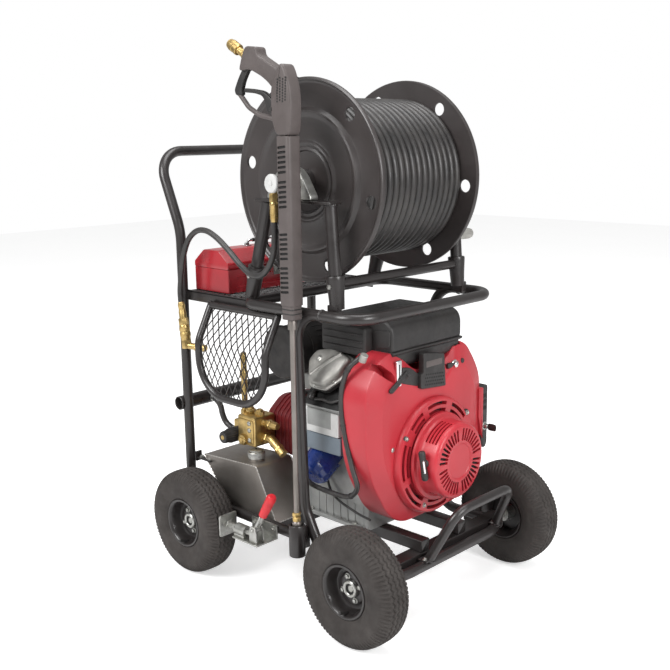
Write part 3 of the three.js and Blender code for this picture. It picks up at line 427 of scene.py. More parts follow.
def lattice(shape, outline, surface, width, height, strand=1.5, slot=0):
    """Expanded metal: two families of crossing strands inside an outline, laid on a surface."""
    outline = np.asarray(outline, float)
    low, high = outline.min(axis=0), outline.max(axis=0)
    slope = height / width
    reach = (high[1] - low[1]) / slope
    for way in (-1, 1):
        first = low[0] - reach if way > 0 else low[0]
        last = high[0] if way > 0 else high[0] + reach
        for start in np.arange(first, last, width):
            t = np.arange(low[1], high[1], 2.5)
            s = start + way * (t - low[1]) / slope
            inside = within(np.stack((s, t), axis=1), outline)
            edges = np.flatnonzero(np.diff(np.concatenate(([0], inside.astype(int), [0]))))
            for begin, end in zip(edges[::2], edges[1::2]):
                if end - begin > 2:
                    run = surface(s[begin:end], t[begin:end])
                    sweep(
                        shape, run[:: max(1, (end - begin) // 12)] if len(run) > 14 else run, strand, 5, slot
                    )


def within(points, outline):
    """True for each point inside the outline, by counting the edges that a line to the right crosses."""
    a, b = outline, np.roll(outline, -1, axis=0)
    x, y = points[:, :1], points[:, 1:]
    crosses = (a[:, 1] > y) != (b[:, 1] > y)
    with np.errstate(divide="ignore", invalid="ignore"):
        at = a[:, 0] + (y - a[:, 1]) * (b[:, 0] - a[:, 0]) / (b[:, 1] - a[:, 1])
    return (np.sum(crosses & (x < at), axis=1) % 2) == 1


def piece(name, shape, finishes, body="cart", stands_for=(), bevel=0.0, angle=38.0):
    """Makes the gathered surfaces one object that rides on a body and stands for CAD nodes."""
    mesh = bpy.data.meshes.new(name)
    points = np.concatenate(shape.points) * MM + SHIFT
    faces = [face for quads in shape.quads for face in quads.tolist()] + shape.caps
    mesh.from_pydata(points.tolist(), [], faces)
    slots = np.concatenate(shape.quad_slots + [np.array(shape.cap_slots, int)]).astype(np.int32)
    mesh.polygons.foreach_set("material_index", slots)
    cleaned = bmesh.new()
    cleaned.from_mesh(mesh)
    bmesh.ops.remove_doubles(cleaned, verts=cleaned.verts, dist=WELD)
    bmesh.ops.dissolve_degenerate(cleaned, edges=cleaned.edges, dist=WELD)
    bmesh.ops.recalc_face_normals(cleaned, faces=cleaned.faces)
    cleaned.to_mesh(mesh)
    cleaned.free()
    for finish in finishes:
        mesh.materials.append(finish)
    mesh.shade_smooth()
    mesh.set_sharp_from_angle(angle=math.radians(angle))
    made = bpy.data.objects.new(name, mesh)
    bpy.context.collection.objects.link(made)
    if bevel > 0:
        rounding = made.modifiers.new("rounded edges", "BEVEL")
        rounding.width = bevel * MM
        rounding.segments = 2
        rounding.limit_method = "ANGLE"
        rounding.angle_limit = math.radians(40)
    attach(made, body)
    if stands_for:
        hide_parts(*stands_for)
    return made


# ---------------------------------------------------------------- finishes


class Finish:
    """The nodes of one material, on Object coordinates."""

    def __init__(self, name):
        self.material = bpy.data.materials.new(name)
        self.material.use_nodes = True
        self.nodes = self.material.node_tree.nodes
        self.links = self.material.node_tree.links
        self.shader = self.nodes["Principled BSDF"]
        self.place = self.nodes.new("ShaderNodeTexCoord").outputs["Object"]
        self.last_bump = None

    def stretched(self, scale, turn=(0, 0, 0)):
        mapping = self.nodes.new("ShaderNodeMapping")
        mapping.inputs["Scale"].default_value = scale
        mapping.inputs["Rotation"].default_value = turn
        self.links.new(self.place, mapping.inputs["Vector"])
        return mapping.outputs["Vector"]

    def noise(self, scale, detail=4.0, rough=0.55, place=None):
        texture = self.nodes.new("ShaderNodeTexNoise")
        texture.inputs["Scale"].default_value = scale
        texture.inputs["Detail"].default_value = detail
        texture.inputs["Roughness"].default_value = rough
        self.links.new(place or self.place, texture.inputs["Vector"])
        return texture.outputs["Fac"]

    def cells(self, scale, feature="F1", place=None):
        texture = self.nodes.new("ShaderNodeTexVoronoi")
        texture.feature = feature
        texture.inputs["Scale"].default_value = scale
        self.links.new(place or self.place, texture.inputs["Vector"])
        return texture.outputs["Distance"]

    def waves(self, scale, distortion=0.0, place=None, direction="X"):
        texture = self.nodes.new("ShaderNodeTexWave")
        texture.bands_direction = direction
        texture.inputs["Scale"].default_value = scale
        texture.inputs["Distortion"].default_value = distortion
        self.links.new(place or self.place, texture.inputs["Vector"])
        return texture.outputs["Fac"]

    def ramp(self, value, stops):
        ramp = self.nodes.new("ShaderNodeValToRGB")
        elements = ramp.color_ramp.elements
        while len(elements) < len(stops):
            elements.new(0.5)
        for element, (position, colour) in zip(elements, stops):
            element.position = position
            element.color = (*colour[:3], 1.0)
        self.links.new(value, ramp.inputs["Fac"])
        return ramp.outputs["Color"]

    def colour(self, value, stops):
        self.links.new(self.ramp(value, stops), self.shader.inputs["Base Color"])
        return self

    def roughness(self, value, low, high):
        scale = self.nodes.new("ShaderNodeMapRange")
        scale.inputs["From Min"].default_value = 0.3
        scale.inputs["From Max"].default_value = 0.7
        scale.inputs["To Min"].default_value = low
        scale.inputs["To Max"].default_value = high
        self.links.new(value, scale.inputs["Value"])
        self.links.new(scale.outputs["Result"], self.shader.inputs["Roughness"])
        return self

    def bump(self, value, strength, distance=0.0005):
        bump = self.nodes.new("ShaderNodeBump")
        bump.inputs["Strength"].default_value = strength
        bump.inputs["Distance"].default_value = distance
        self.links.new(value, bump.inputs["Height"])
        if self.last_bump:
            self.links.new(self.last_bump, bump.inputs["Normal"])
        self.last_bump = bump.outputs["Normal"]
        self.links.new(self.last_bump, self.shader.inputs["Normal"])
        return self

    def set(self, **values):
        for name, value in values.items():
            self.shader.inputs[name.replace("_", " ")].default_value = value
        return self


def shade(colour, share):
    """A colour made darker or lighter by a share."""
    return tuple(min(1.0, channel * share) for channel in tuple(colour)[:3])


def powder_coat():
    """Black powder coat: a fine orange peel, with faint dust and handling marks."""
    finish, tone = Finish("powder coat"), colours().paint
    finish.colour(finish.noise(9, 6), [(0.3, shade(tone, 0.8)), (0.62, tone), (0.8, shade(tone, 2.2))])
    finish.roughness(finish.noise(28, 5), 0.26, 0.42)
    finish.bump(finish.noise(900, 2), 0.12, 0.0003)
    return finish.set(Specular_IOR_Level=0.62).material


def pressed_paint():
    """Semi-gloss black on pressed sheet, with soft waves where it was drawn."""
    finish, tone = Finish("pressed sheet paint"), colours().paint
    finish.colour(finish.noise(5, 5), [(0.3, shade(tone, 1.2)), (0.7, shade(tone, 2.1))])
    finish.roughness(finish.noise(18, 5), 0.3, 0.44)
    finish.bump(finish.noise(14, 2), 0.1, 0.002).bump(finish.noise(700, 2), 0.1, 0.0003)
    return finish.set(Specular_IOR_Level=0.6).material


def tyre_rubber():
    """Weathered tyre rubber: brown-grey, chalkier in patches, finely pitted."""
    finish = Finish("tyre rubber")
    stops = [(0.3, (0.026, 0.022, 0.02)), (0.55, (0.044, 0.038, 0.035)), (0.8, (0.075, 0.066, 0.06))]
    finish.colour(finish.noise(16, 8, 0.65), stops)
    finish.roughness(finish.noise(45, 4), 0.62, 0.86)
    finish.bump(finish.noise(420, 4), 0.3, 0.0006)
    return finish.set(Specular_IOR_Level=0.35).material


def hose_rubber():
    """Hose cover: smooth black rubber with a faint cross wrap."""
    finish = Finish("hose rubber")
    finish.colour(finish.noise(24, 5), [(0.3, (0.016, 0.015, 0.015)), (0.75, (0.042, 0.038, 0.036))])
    finish.roughness(finish.noise(60, 3), 0.3, 0.48)
    finish.bump(finish.waves(260, 0.4, direction="DIAGONAL"), 0.12, 0.0004)
    finish.bump(finish.noise(500, 3), 0.12, 0.0003)
    return finish.set(Specular_IOR_Level=0.55).material


def moulded_black():
    """Glass-filled plastic: charcoal, fine spark-eroded grain."""
    finish = Finish("moulded black")
    finish.colour(finish.noise(20, 4), [(0.3, (0.016, 0.015, 0.015)), (0.75, (0.03, 0.027, 0.026))])
    finish.roughness(finish.noise(90, 3), 0.42, 0.58)
    finish.bump(finish.cells(1100), 0.16, 0.0003)
    return finish.material


def moulded_grey():
    """The gun's shell: warm dark grey with a leathery grain."""
    finish = Finish("moulded grey")
    finish.colour(finish.noise(18, 4), [(0.3, (0.07, 0.057, 0.054)), (0.75, (0.1, 0.083, 0.08))])
    finish.roughness(finish.noise(70, 3), 0.46, 0.6)
    finish.bump(finish.cells(900), 0.2, 0.0004)
    return finish.material


def painted_shade():
    """Painted shade for unlit insides, slots and holes: near black, slightly dusty."""
    finish = Finish("painted shade")
    finish.colour(finish.noise(30, 3), [(0.3, (0.004, 0.004, 0.004)), (0.8, (0.012, 0.011, 0.011))])
    finish.roughness(finish.noise(40, 2), 0.6, 0.8)
    return finish.material


def moulded_red():
    """Injection-moulded red covers: satin, with slight flow marks."""
    finish, tone = Finish("moulded red"), colours().red
    finish.colour(finish.noise(5, 4), [(0.3, shade(tone, 0.86)), (0.7, shade(tone, 1.1))])
    finish.roughness(finish.noise(26, 4), 0.3, 0.42)
    finish.bump(finish.noise(6, 2), 0.06, 0.002).bump(finish.noise(1200, 2), 0.08, 0.0002)
    return finish.set(Subsurface_Weight=0.04, Subsurface_Radius=(0.004, 0.001, 0.001)).material


def box_paint():
    """Glossy red paint on folded sheet, with a slightly uneven coat."""
    finish, tone = Finish("box paint"), colours().box_red
    finish.colour(finish.noise(7, 5), [(0.3, shade(tone, 0.75)), (0.7, shade(tone, 1.15))])
    finish.roughness(finish.noise(20, 4), 0.16, 0.3)
    finish.bump(finish.noise(22, 2), 0.1, 0.001)
    return finish.set(Coat_Weight=0.5, Coat_Roughness=0.12).material


def casting_paint():
    """Dark red enamel over a sand casting."""
    finish, tone = Finish("casting paint"), colours().box_red
    finish.colour(finish.noise(14, 6), [(0.3, shade(tone, 0.3)), (0.75, shade(tone, 0.68))])
    finish.roughness(finish.noise(30, 4), 0.3, 0.5)
    finish.bump(finish.noise(160, 5), 0.35, 0.0012)
    return finish.material


def grip_rubber():
    """Dipped red vinyl on the brake handle."""
    finish = Finish("grip vinyl")
    finish.colour(finish.noise(30, 4), [(0.3, (0.5, 0.012, 0.02)), (0.75, (0.68, 0.025, 0.035))])
    finish.roughness(finish.noise(60, 3), 0.34, 0.5)
    finish.bump(finish.noise(300, 3), 0.2, 0.0004)
    return finish.material


def zinc_plate():
    """Bright zinc: cool grey with a faint yellow cast in patches."""
    finish = Finish("zinc plate")
    stops = [(0.3, (0.36, 0.36, 0.33)), (0.6, (0.46, 0.46, 0.44)), (0.85, (0.54, 0.53, 0.48))]
    finish.colour(finish.noise(60, 5), stops)
    finish.roughness(finish.noise(90, 4), 0.26, 0.46)
    finish.bump(finish.noise(500, 3), 0.12, 0.0003)
    return finish.set(Metallic=0.92).material


def satin_steel():
    """Drawn steel tube: satin brown-grey, with faint lines along it."""
    finish = Finish("satin steel")
    lines = finish.stretched((260, 260, 6))
    finish.colour(finish.noise(12, 5), [(0.3, (0.2, 0.18, 0.165)), (0.75, (0.31, 0.285, 0.265))])
    finish.roughness(finish.noise(3, 5, place=lines), 0.34, 0.52)
    finish.bump(finish.noise(4, 3, place=lines), 0.1, 0.0003)
    return finish.set(Metallic=0.85).material


def pale_cover():
    """Off-white enamel of the plain side cover, a little grimy."""
    finish = Finish("pale cover enamel")
    finish.colour(finish.noise(18, 6), [(0.3, (0.5, 0.5, 0.49)), (0.75, (0.68, 0.68, 0.67))])
    finish.roughness(finish.noise(40, 4), 0.36, 0.52)
    finish.bump(finish.noise(240, 3), 0.12, 0.0004)
    return finish.material


def blue_grey_paint():
    """Blue-grey enamel on the lower side cover."""
    finish = Finish("blue-grey enamel")
    finish.colour(finish.noise(18, 5), [(0.3, (0.12, 0.15, 0.18)), (0.75, (0.19, 0.225, 0.26))])
    finish.roughness(finish.noise(36, 4), 0.34, 0.5)
    finish.bump(finish.noise(220, 4), 0.14, 0.0005)
    return finish.material


def cast_alloy():
    """Die-cast aluminium: matt grey with a fine skin."""
    finish = Finish("cast alloy")
    finish.colour(finish.noise(22, 6), [(0.3, (0.3, 0.29, 0.27)), (0.75, (0.52, 0.51, 0.48))])
    finish.roughness(finish.noise(50, 5), 0.42, 0.62)
    finish.bump(finish.noise(260, 5), 0.3, 0.0006)
    return finish.set(Metallic=0.75).material


def silver_paint():
    """Silver-grey enamel of the engine's castings."""
    finish = Finish("silver enamel")
    finish.colour(finish.noise(12, 6), [(0.3, (0.24, 0.245, 0.24)), (0.75, (0.44, 0.445, 0.43))])
    finish.roughness(finish.noise(30, 5), 0.34, 0.52)
    finish.bump(finish.noise(200, 5), 0.28, 0.0008)
    return finish.set(Metallic=0.35).material


def brass_metal():
    """Machined and forged brass, browner where it was handled."""
    finish, tone = Finish("brass"), colours().brass
    finish.colour(
        finish.noise(35, 6), [(0.28, shade(tone, 0.55)), (0.5, tone), (0.8, shade(tone, 1.25))]
    )
    finish.roughness(finish.noise(60, 5), 0.26, 0.5)
    finish.bump(finish.noise(240, 4), 0.2, 0.0005)
    return finish.set(Metallic=0.95).material


def brushed_sheet():
    """Brushed aluminium sheet of the tank: fine lines along X, warm and dull in patches."""
    finish = Finish("brushed sheet")
    lines = finish.stretched((6, 240, 240))
    finish.colour(
        finish.noise(5, 6), [(0.3, (0.25, 0.225, 0.205)), (0.6, (0.4, 0.37, 0.34)), (0.8, (0.5, 0.47, 0.43))]
    )
    finish.roughness(finish.noise(3, 5, place=lines), 0.36, 0.56)
    finish.bump(finish.noise(4, 3, place=lines), 0.12, 0.0003)
    return finish.set(Metallic=0.9).material


def weld_metal():
    """Bright weld bead on the tank's seams."""
    finish = Finish("weld metal")
    finish.colour(finish.noise(200, 4), [(0.3, (0.45, 0.43, 0.4)), (0.7, (0.75, 0.72, 0.68))])
    finish.roughness(finish.noise(120, 3), 0.3, 0.5)
    finish.bump(finish.noise(600, 3), 0.3, 0.0004)
    return finish.set(Metallic=0.9).material


def filter_paint():
    """Blue enamel on the oil filter."""
    finish, tone = Finish("filter enamel"), colours().filter_blue
    finish.colour(finish.noise(14, 4), [(0.3, shade(tone, 0.8)), (0.7, shade(tone, 1.35))])
    finish.roughness(finish.noise(40, 3), 0.2, 0.34)
    finish.bump(finish.noise(90, 3), 0.08, 0.0006)
    return finish.set(Coat_Weight=0.3, Coat_Roughness=0.1).material


def chrome_plate():
    """Chrome on the clip and the inlay, with fine wiping marks."""
    finish = Finish("chrome plate")
    finish.colour(finish.noise(40, 4), [(0.3, (0.72, 0.73, 0.74)), (0.7, (0.9, 0.9, 0.9))])
    finish.roughness(finish.noise(120, 4), 0.08, 0.2)
    finish.bump(finish.noise(800, 2), 0.05, 0.0002)
    return finish.set(Metallic=1.0).material


def heat_black():
    """Matt heat-proof black of the muffler, slightly rusty in places."""
    finish = Finish("heat-proof black")
    finish.colour(
        finish.noise(26, 7),
        [(0.3, (0.018, 0.017, 0.017)), (0.68, (0.04, 0.036, 0.034)), (0.85, (0.1, 0.062, 0.045))],
    )
    finish.roughness(finish.noise(50, 4), 0.5, 0.75)
    finish.bump(finish.noise(300, 4), 0.25, 0.0006)
    return finish.material


MAKERS = {
    maker.__name__: maker
    for maker in (
        powder_coat, pressed_paint, tyre_rubber, hose_rubber, moulded_black, moulded_grey, painted_shade,
        moulded_red,
        box_paint, casting_paint, grip_rubber, zinc_plate, cast_alloy, silver_paint, brass_metal,
        brushed_sheet,
        weld_metal, filter_paint, chrome_plate, heat_black, satin_steel, pale_cover, blue_grey_paint,
    )
}
made_finishes = {}


def finish(*names):
    """The finishes of those names, each made once."""
    for name in names:
        if name not in made_finishes:
            made_finishes[name] = MAKERS[name]()
    return [made_finishes[name] for name in names]


def carve(made, cutter, angle=38.0):
    """Takes the cutter's closed surfaces out of a piece with an exact boolean."""
    before = set(bpy.data.objects)
    knife_mesh = bpy.data.meshes.new("cutter")
    faces = [face for quads in cutter.quads for face in quads.tolist()] + cutter.caps
    knife_mesh.from_pydata((np.concatenate(cutter.points) * MM + SHIFT).tolist(), [], faces)
    cleaned = bmesh.new()
    cleaned.from_mesh(knife_mesh)
    bmesh.ops.remove_doubles(cleaned, verts=cleaned.verts, dist=WELD)
    bmesh.ops.recalc_face_normals(cleaned, faces=cleaned.faces)
    cleaned.to_mesh(knife_mesh)
    cleaned.free()
    knife = bpy.data.objects.new("cutter", knife_mesh)
    bpy.context.collection.objects.link(knife)
    cutting = made.modifiers.new("cut", "BOOLEAN")
    cutting.operation = "DIFFERENCE"
    cutting.solver = "EXACT"
    cutting.use_self = True
    cutting.object = knife
    shown = made.evaluated_get(bpy.context.evaluated_depsgraph_get())
    result = bpy.data.meshes.new_from_object(shown)
    if len(result.polygons) < len(made.data.polygons) // 2:
        raise RuntimeError(f"{made.name}: the cut took away too much")
    made.modifiers.clear()
    old, made.data = made.data, result
    bpy.data.meshes.remove(old)
    for left in set(bpy.data.objects) - before:
        bpy.data.objects.remove(left)
    bpy.data.meshes.remove(knife_mesh)
    result.shade_smooth()
    result.set_sharp_from_angle(angle=math.radians(angle))
    return made


def arc(radius, start, end, count):
    """Points of an arc in a plane, by angle from its first axis."""
    angle = np.linspace(start, end, count)
    return np.stack((radius * np.cos(angle), radius * np.sin(angle)), axis=1)


def slot_outline(centre, length, width, angle=0.0, steps=7):
    """A slot with round ends."""
    half, radius = length / 2 - width / 2, width / 2
    right = arc(radius, -np.pi / 2, np.pi / 2, steps) + (half, 0)
    left = arc(radius, np.pi / 2, 3 * np.pi / 2, steps) - (half, 0)
    outline = np.concatenate((right, left))
    c, s = np.cos(angle), np.sin(angle)
    return outline @ np.array(((c, s), (-s, c))) + centre


def arc_slot(centre, radius, width, start, end, count=24):
    """A slot that follows an arc."""
    outer = arc(radius + width / 2, start, end, count)
    inner = arc(radius - width / 2, end, start, count)
    return np.concatenate((outer, inner)) + centre


def mirrored(corners, side):
    return np.asarray(corners, float) * (1, side, 1)


# ---------------------------------------------------------------- wheels


def tyre(end, side, outward):
    """A tyre's section turned about its axle.

    The tread's radius falls by the tread depth in four grooves whose lines swing from side to side in a
    triangle wave, and in short notches over the shoulders that alternate with lugs.
    """
    centre = core(f"tyre_{end}_{side}")
    top = WHEEL_R
    half = [
        (top, 0), (top, 14), (top - 2, 27), (top - 9, 36.5), (top - 20, 42), (top - 38, 43.6),
        (top - 55, 41.5), (top - 64, 38), (top - 68, 36.6), (top - 70.5, 33.5),
    ]
    outer = evenly(corner_cut(half, 3), 44)
    inner = evenly(
        corner_cut([(top - 70.5, 33.5), (top - 66, 30), (top - 30, 38), (top - 10, 22), (top - 10, 0)], 2),
        10,
    )
    section = np.concatenate((outer[::-1], (outer * (1, -1))[1:], (inner * (1, -1))[1:], inner[::-1][1:-1]))
    around = ring_angles(900)[:, None]
    radius = np.broadcast_to(section[:, 0], (900, len(section))).copy()
    across = np.broadcast_to(section[:, 1], (900, len(section))).copy()
    outside = radius > top - 30
    swing = 2.4 * (4 * np.abs((around * 56 / (2 * np.pi)) % 1 - 0.5) - 1)
    apart = np.abs(across[..., None] - np.array((-19.5, -6.5, 6.5, 19.5)) - swing[..., None]).min(axis=-1)
    groove = np.clip(1.5 - apart / 1.7, 0, 1) * (np.abs(across) < 24)
    notch = np.clip(0.5 + 2.2 * np.cos(around * 84 + np.sign(across) * 1.4 + across * 0.08), 0, 1)
    shoulder = notch * np.clip((np.abs(across) - 26) / 2, 0, 1) * np.clip((radius - (top - 24)) / 4, 0, 1)
    liner = np.zeros(len(section), bool)
    liner[len(outer) * 2 - 1 :] = True
    cut = np.maximum(groove, 0.8 * shoulder) * outside * ~liner
    radius -= sizes().tread_depth * cut
    ribs = 0.5 * np.exp(
        -(((section[:, 0] - (top - 47)) / 1.3) ** 2)
    ) + 0.6 * np.exp(-(((section[:, 0] - (top - 60)) / 1.5) ** 2))
    across += np.sign(across) * (ribs * ~liner)[None]
    points = np.stack((radius * np.sin(around), outward * across, radius * np.cos(around)), axis=-1) + centre
    shape = Shape()
    shape.grid(points, wrap_rows=True, wrap_columns=True)
    valve = centre + np.array((0, outward * 30, -50))
    body = f"wheel_{end}_{side}"
    piece(f"{end}_{side}_tyre_tread", shape, finish("tyre_rubber"), body, [f"tyre_{end}_{side}"], angle=50)
    stem = Shape()
    turn(
        stem, [(0, -6), (4.5, -6), (3.2, 2), (2.8, 12), (3.6, 12.5), (3.6, 19), (0, 20)], valve,
        (0, outward, 0.35), 20,
    )
    piece(f"{end}_{side}_valve", stem, finish("moulded_black"), body)


def rim(end, side, outward):
    """A dished disc with a rolled lip, a zinc hub and four bolts."""
    centre = core(f"tyre_{end}_{side}")
    ahead = (0, outward, 0)
    shape = Shape()
    face = [
        (62.5, 31), (62.2, 35), (60.6, 36.8), (58, 37), (55.6, 35.8), (53, 31), (50.6, 22), (49, 10),
        (46.5, 5.8),
        (43, 4.6), (38, 4.8), (35.6, 7.6), (32, 9), (24, 9), (21, 8.2), (19, 8),
    ]
    back = [
        (19, 3), (40, 0), (46.5, 0), (47, -20), (50.6, -25), (55.6, -34), (58, -36.8), (60.6, -36.8),
        (62.5, -31),
        (62.5, -29), (58, -25), (54, 0), (58, 25), (62.5, 31),
    ]
    turn(shape, face + back, centre, ahead, 96)
    hub = [
        (19, -28), (19.2, 15), (17.6, 16.8), (13.2, 16.8), (12, 15.6), (12, 12.4), (8.4, 12.4), (8.4, -28),
        (19, -28),
    ]
    turn(shape, hub, centre, ahead, 64, slot=1)
    # A near-black ring round the hub's bore: painted shade in the recess.
    turn(
        shape, [(11.8, 12.6), (11.8, 13.4), (8.4, 13.4), (8.4, 12.6), (11.8, 12.6)], centre, ahead, 40,
        slot=2,
    )
    for angle in ring_angles(4, 0.4):
        base = centre + np.array((27.5 * np.cos(angle), outward * 8.8, 27.5 * np.sin(angle)))
        bolt(shape, base, ahead, 5.2, 4.2, slot=1)
    names = finish("powder_coat", "zinc_plate", "painted_shade")
    piece(f"{end}_{side}_rim_disc", shape, names, f"wheel_{end}_{side}", [f"rim_{end}_{side}"])


class WASHER_OT_wheels(bpy.types.Operator):
    """Four tyres with ribbed treads on dished rims"""

    bl_idname = "washer.wheels"
    bl_label = "Wheels"

    def execute(self, context):
        for end in ("rear", "front"):
            for side, outward in (("near", -1), ("far", 1)):
                tyre(end, side, outward)
                rim(end, side, outward)
        return {"FINISHED"}


# ---------------------------------------------------------------- frame

BEAM_X = core("tyre_front_near")[0]
BEAM_HIGH = RAIL_Z - TUBE - GAP
TRACK_HALF = -core("tyre_front_near")[1]
SILL_Y, SILL_Z = 230.0, 125.0


def tube(name, corners, radii, node, welds=(), radius=TUBE, ends=()):
    """One bent tube with its welds and closed ends."""
    shape = Shape()
    path = bent(corners, radii, 14)
    sweep(shape, path, radius, 32)
    for centre, direction in welds:
        weld(shape, centre, direction, radius)
    for place, direction in ends:
        turn(
            shape, [(radius - 0.4, -1), (radius - 1, 1.2), (radius - 3, 2.2), (0, 2.6)], place, direction, 32
        )
    return piece(name, shape, finish("powder_coat"), "cart", [node])


def main_frame():
    half = [(HOOP_X - 40, RAIL_Y, RAIL_Z), (-368, RAIL_Y, RAIL_Z), (-368, RAIL_Y, 860), (-452, RAIL_Y, 1056)]
    corners = np.concatenate((mirrored(half, -1), mirrored(half, 1)[::-1]))
    ends = [((HOOP_X - 41, side * RAIL_Y, RAIL_Z), X) for side in (-1, 1)]
    tube("push_handle_and_rails", corners, (70, 150, 75, 75, 150, 70), "main_frame_tube", ends=ends)
    shape = Shape()
    low, high = span("rear_cross_tube")
    centre = (low + high) / 2
    outer, bore = (high[0] - low[0]) / 2, (high[0] - low[0]) / 2 - 3
    half_length = high[1] - centre[1]
    ring = [(outer, 0.8), (outer - 0.8, 0), (bore + 0.5, 0), (bore, 0.8)]
    other = [
        (bore, 2 * half_length - 0.8), (bore + 0.5, 2 * half_length), (outer - 0.8, 2 * half_length),
        (outer, 2 * half_length - 0.8),
    ]
    turn(shape, ring + other + ring[:1], (centre[0], low[1], centre[2]), Y, 48)
    for side in (-1, 1):
        weld(shape, (centre[0] + 3, side * RAIL_Y, centre[2]), Y, outer - 1)
    piece("cross_tube_open_ends", shape, finish("powder_coat"), "cart", ["rear_cross_tube"])


def hoops():
    for side, word in ((-1, "near"), (1, "far")):
        corners = [
            (BEAM_X - 18.8, SILL_Y, SILL_Z), (HOOP_X + 58, SILL_Y, SILL_Z),
            (HOOP_X, SILL_Y + 3, SILL_Z + 118),
            (HOOP_X, DECK_Y, DECK_Z), (HOOP_X + 80, DECK_Y, DECK_Z),
        ]
        welds = [((HOOP_X + 80, side * DECK_Y, DECK_Z), X), ((BEAM_X - 21, side * SILL_Y, SILL_Z), X)]
        tube(f"hoop_tube_{word}", mirrored(corners, side), (50, 90, 66), f"hoop_{word}", welds)


def deck():
    front = [
        (HOOP_X + 80.3, -DECK_Y, DECK_Z), (DECK_FRONT, -DECK_Y, DECK_Z), (DECK_FRONT, DECK_Y, DECK_Z),
        (HOOP_X + 80.3, DECK_Y, DECK_Z),
    ]
    tube("deck_bar_front", front, 62, "deck_front_bar")
    start = HOOP_X + 70
    back = [
        (start, -DECK_Y, DECK_Z), (DECK_BACK, -DECK_Y, DECK_Z), (DECK_BACK, DECK_Y, DECK_Z),
        (start, DECK_Y, DECK_Z),
    ]
    tube("deck_bar_back", back, 40, "deck_back_bar", radius=TUBE - 0.15)


def axle(shape, forward):
    """A box-section beam with a stub axle and a washer at each end."""
    beam_half = TRACK_HALF - 50
    low, high = (BEAM_X - 18.5, BEAM_X + 18.5) if forward > 0 else (-BEAM_X - 18.5, -BEAM_X + 18.5)
    block(shape, (low, -beam_half, 116), (high, beam_half, 146.9), 3, 0, "y")
    middle = (low + high) / 2
    for side in (-1, 1):
        inner, outer = side * (beam_half - 2), side * (TRACK_HALF + 12.5)
        rod(shape, (middle, inner, WHEEL_R), (middle, outer, WHEEL_R), 8, 28, slot=1, rim=1.2)
        turn(
            shape, [(0, 0), (15, 0), (15, 2.4), (0, 2.4)], (middle, side * (beam_half - 0.4), WHEEL_R),
            (0, side, 0), 32, 1,
        )


def bow_and_bumper():
    foot_z = SILL_Z + 2
    beam_outer = BEAM_X + 18.5
    shape = Shape()
    axle(shape, 1)
    bow = [
        (beam_outer - 6, -SILL_Y + 4, foot_z), (beam_outer + 18, -165, foot_z),
        (beam_outer + 18, 165, foot_z), (beam_outer - 6, SILL_Y - 4, foot_z),
    ]
    sweep(shape, bent(bow, 110, 14), TUBE, 32)
    for side in (-1, 1):
        weld(shape, (beam_outer - 1, side * (SILL_Y - 12), foot_z), (0.34, side * -0.94, 0), TUBE)
    piece("front_beam_and_bow", shape, finish("powder_coat", "zinc_plate"), "cart", ["front_axle_beam"])
    shape = Shape()
    axle(shape, -1)
    piece("rear_beam", shape, finish("powder_coat", "zinc_plate"), "cart", ["rear_axle_beam"])
    middle, foot_half, top_half = 52, 141, 104
    shape = Shape()
    feet = [middle - foot_half, middle + foot_half]
    bow_x = [beam_outer + 18 - 24 / (SILL_Y - 4 - 165) * max(0, abs(y) - 165) for y in feet]
    corners = [
        (bow_x[0] + 5, feet[0] + 2, foot_z + 12), (beam_outer + 78, middle - top_half, 260),
        (beam_outer + 78, middle + top_half, 260), (bow_x[1] + 5, feet[1] - 2, foot_z + 12),
    ]
    sweep(shape, bent(corners, 48, 14), 11, 30)
    for x, y in zip(bow_x, feet):
        direction = unit((60, (middle - y) * 0.26, 133))
        weld(shape, np.array((x, y, foot_z)) + direction * 14, direction, 11.4)
        block(shape, (x - 13, y - 17, foot_z + TUBE - 2), (x + 13, y + 17, foot_z + TUBE + 2.4), 1)
        for step in (-11, 11):
            bolt(shape, (x + 3, y + step, foot_z + TUBE + 2.2), (0.1, 0, 1), 4, 3.4, slot=1)
    piece("bumper_bar", shape, finish("powder_coat", "zinc_plate"), "cart", ["bumper"])


def cradle_and_socket():
    shape = Shape()
    for side in (-1, 1):
        low, high = sorted((side * 70 - 15, side * 70 + 15))
        block(shape, (-118, low, BEAM_HIGH + 0.4), (BEAM_X + 18, high, 175), 2.5, 0, "x")
        bolt(shape, (150, side * 78, 174.4), Z, 5, 3, slot=1)
    block(shape, (-110, -RAIL_Y - 8, 116), (-80, RAIL_Y + 8, BEAM_HIGH + 0.8), 2.5, 0, "y")
    for side in (-1, 1):
        bolt(shape, (-95, side * (RAIL_Y - 26), BEAM_HIGH + 0.6), Z, 4.6, 3, slot=1)
    piece("cradle_rails", shape, finish("powder_coat", "zinc_plate"), "cart", ["engine_cradle"])
    shape = Shape()
    low, high = span("lance_socket")
    profile = [(0, 0), (18, 0), (19, 1), (19, 74.5), (18, 76), (15, 76), (14, 75), (14, 10), (0, 10)]
    turn(shape, profile, (LANCE[0], LANCE[1], low[2]), Z, 48)
    block(shape, (LANCE[0] - 6, LANCE[1] + 15, 150), (LANCE[0], -RAIL_Y - 8, 205), 1.2, 0, "x")
    weld(shape, (LANCE[0] - 3, LANCE[1] + 17, 178), Y, 6, bead=1.6)
    piece("lance_cup", shape, finish("powder_coat"), "cart", ["lance_socket"])


class WASHER_OT_frame(bpy.types.Operator):
    """Bent tubes, axle beams, bumper, engine cradle and lance socket"""

    bl_idname = "washer.frame"
    bl_label = "Frame"

    def execute(self, context):
        main_frame()
        hoops()
        deck()
        bow_and_bumper()
        cradle_and_socket()
        return {"FINISHED"}


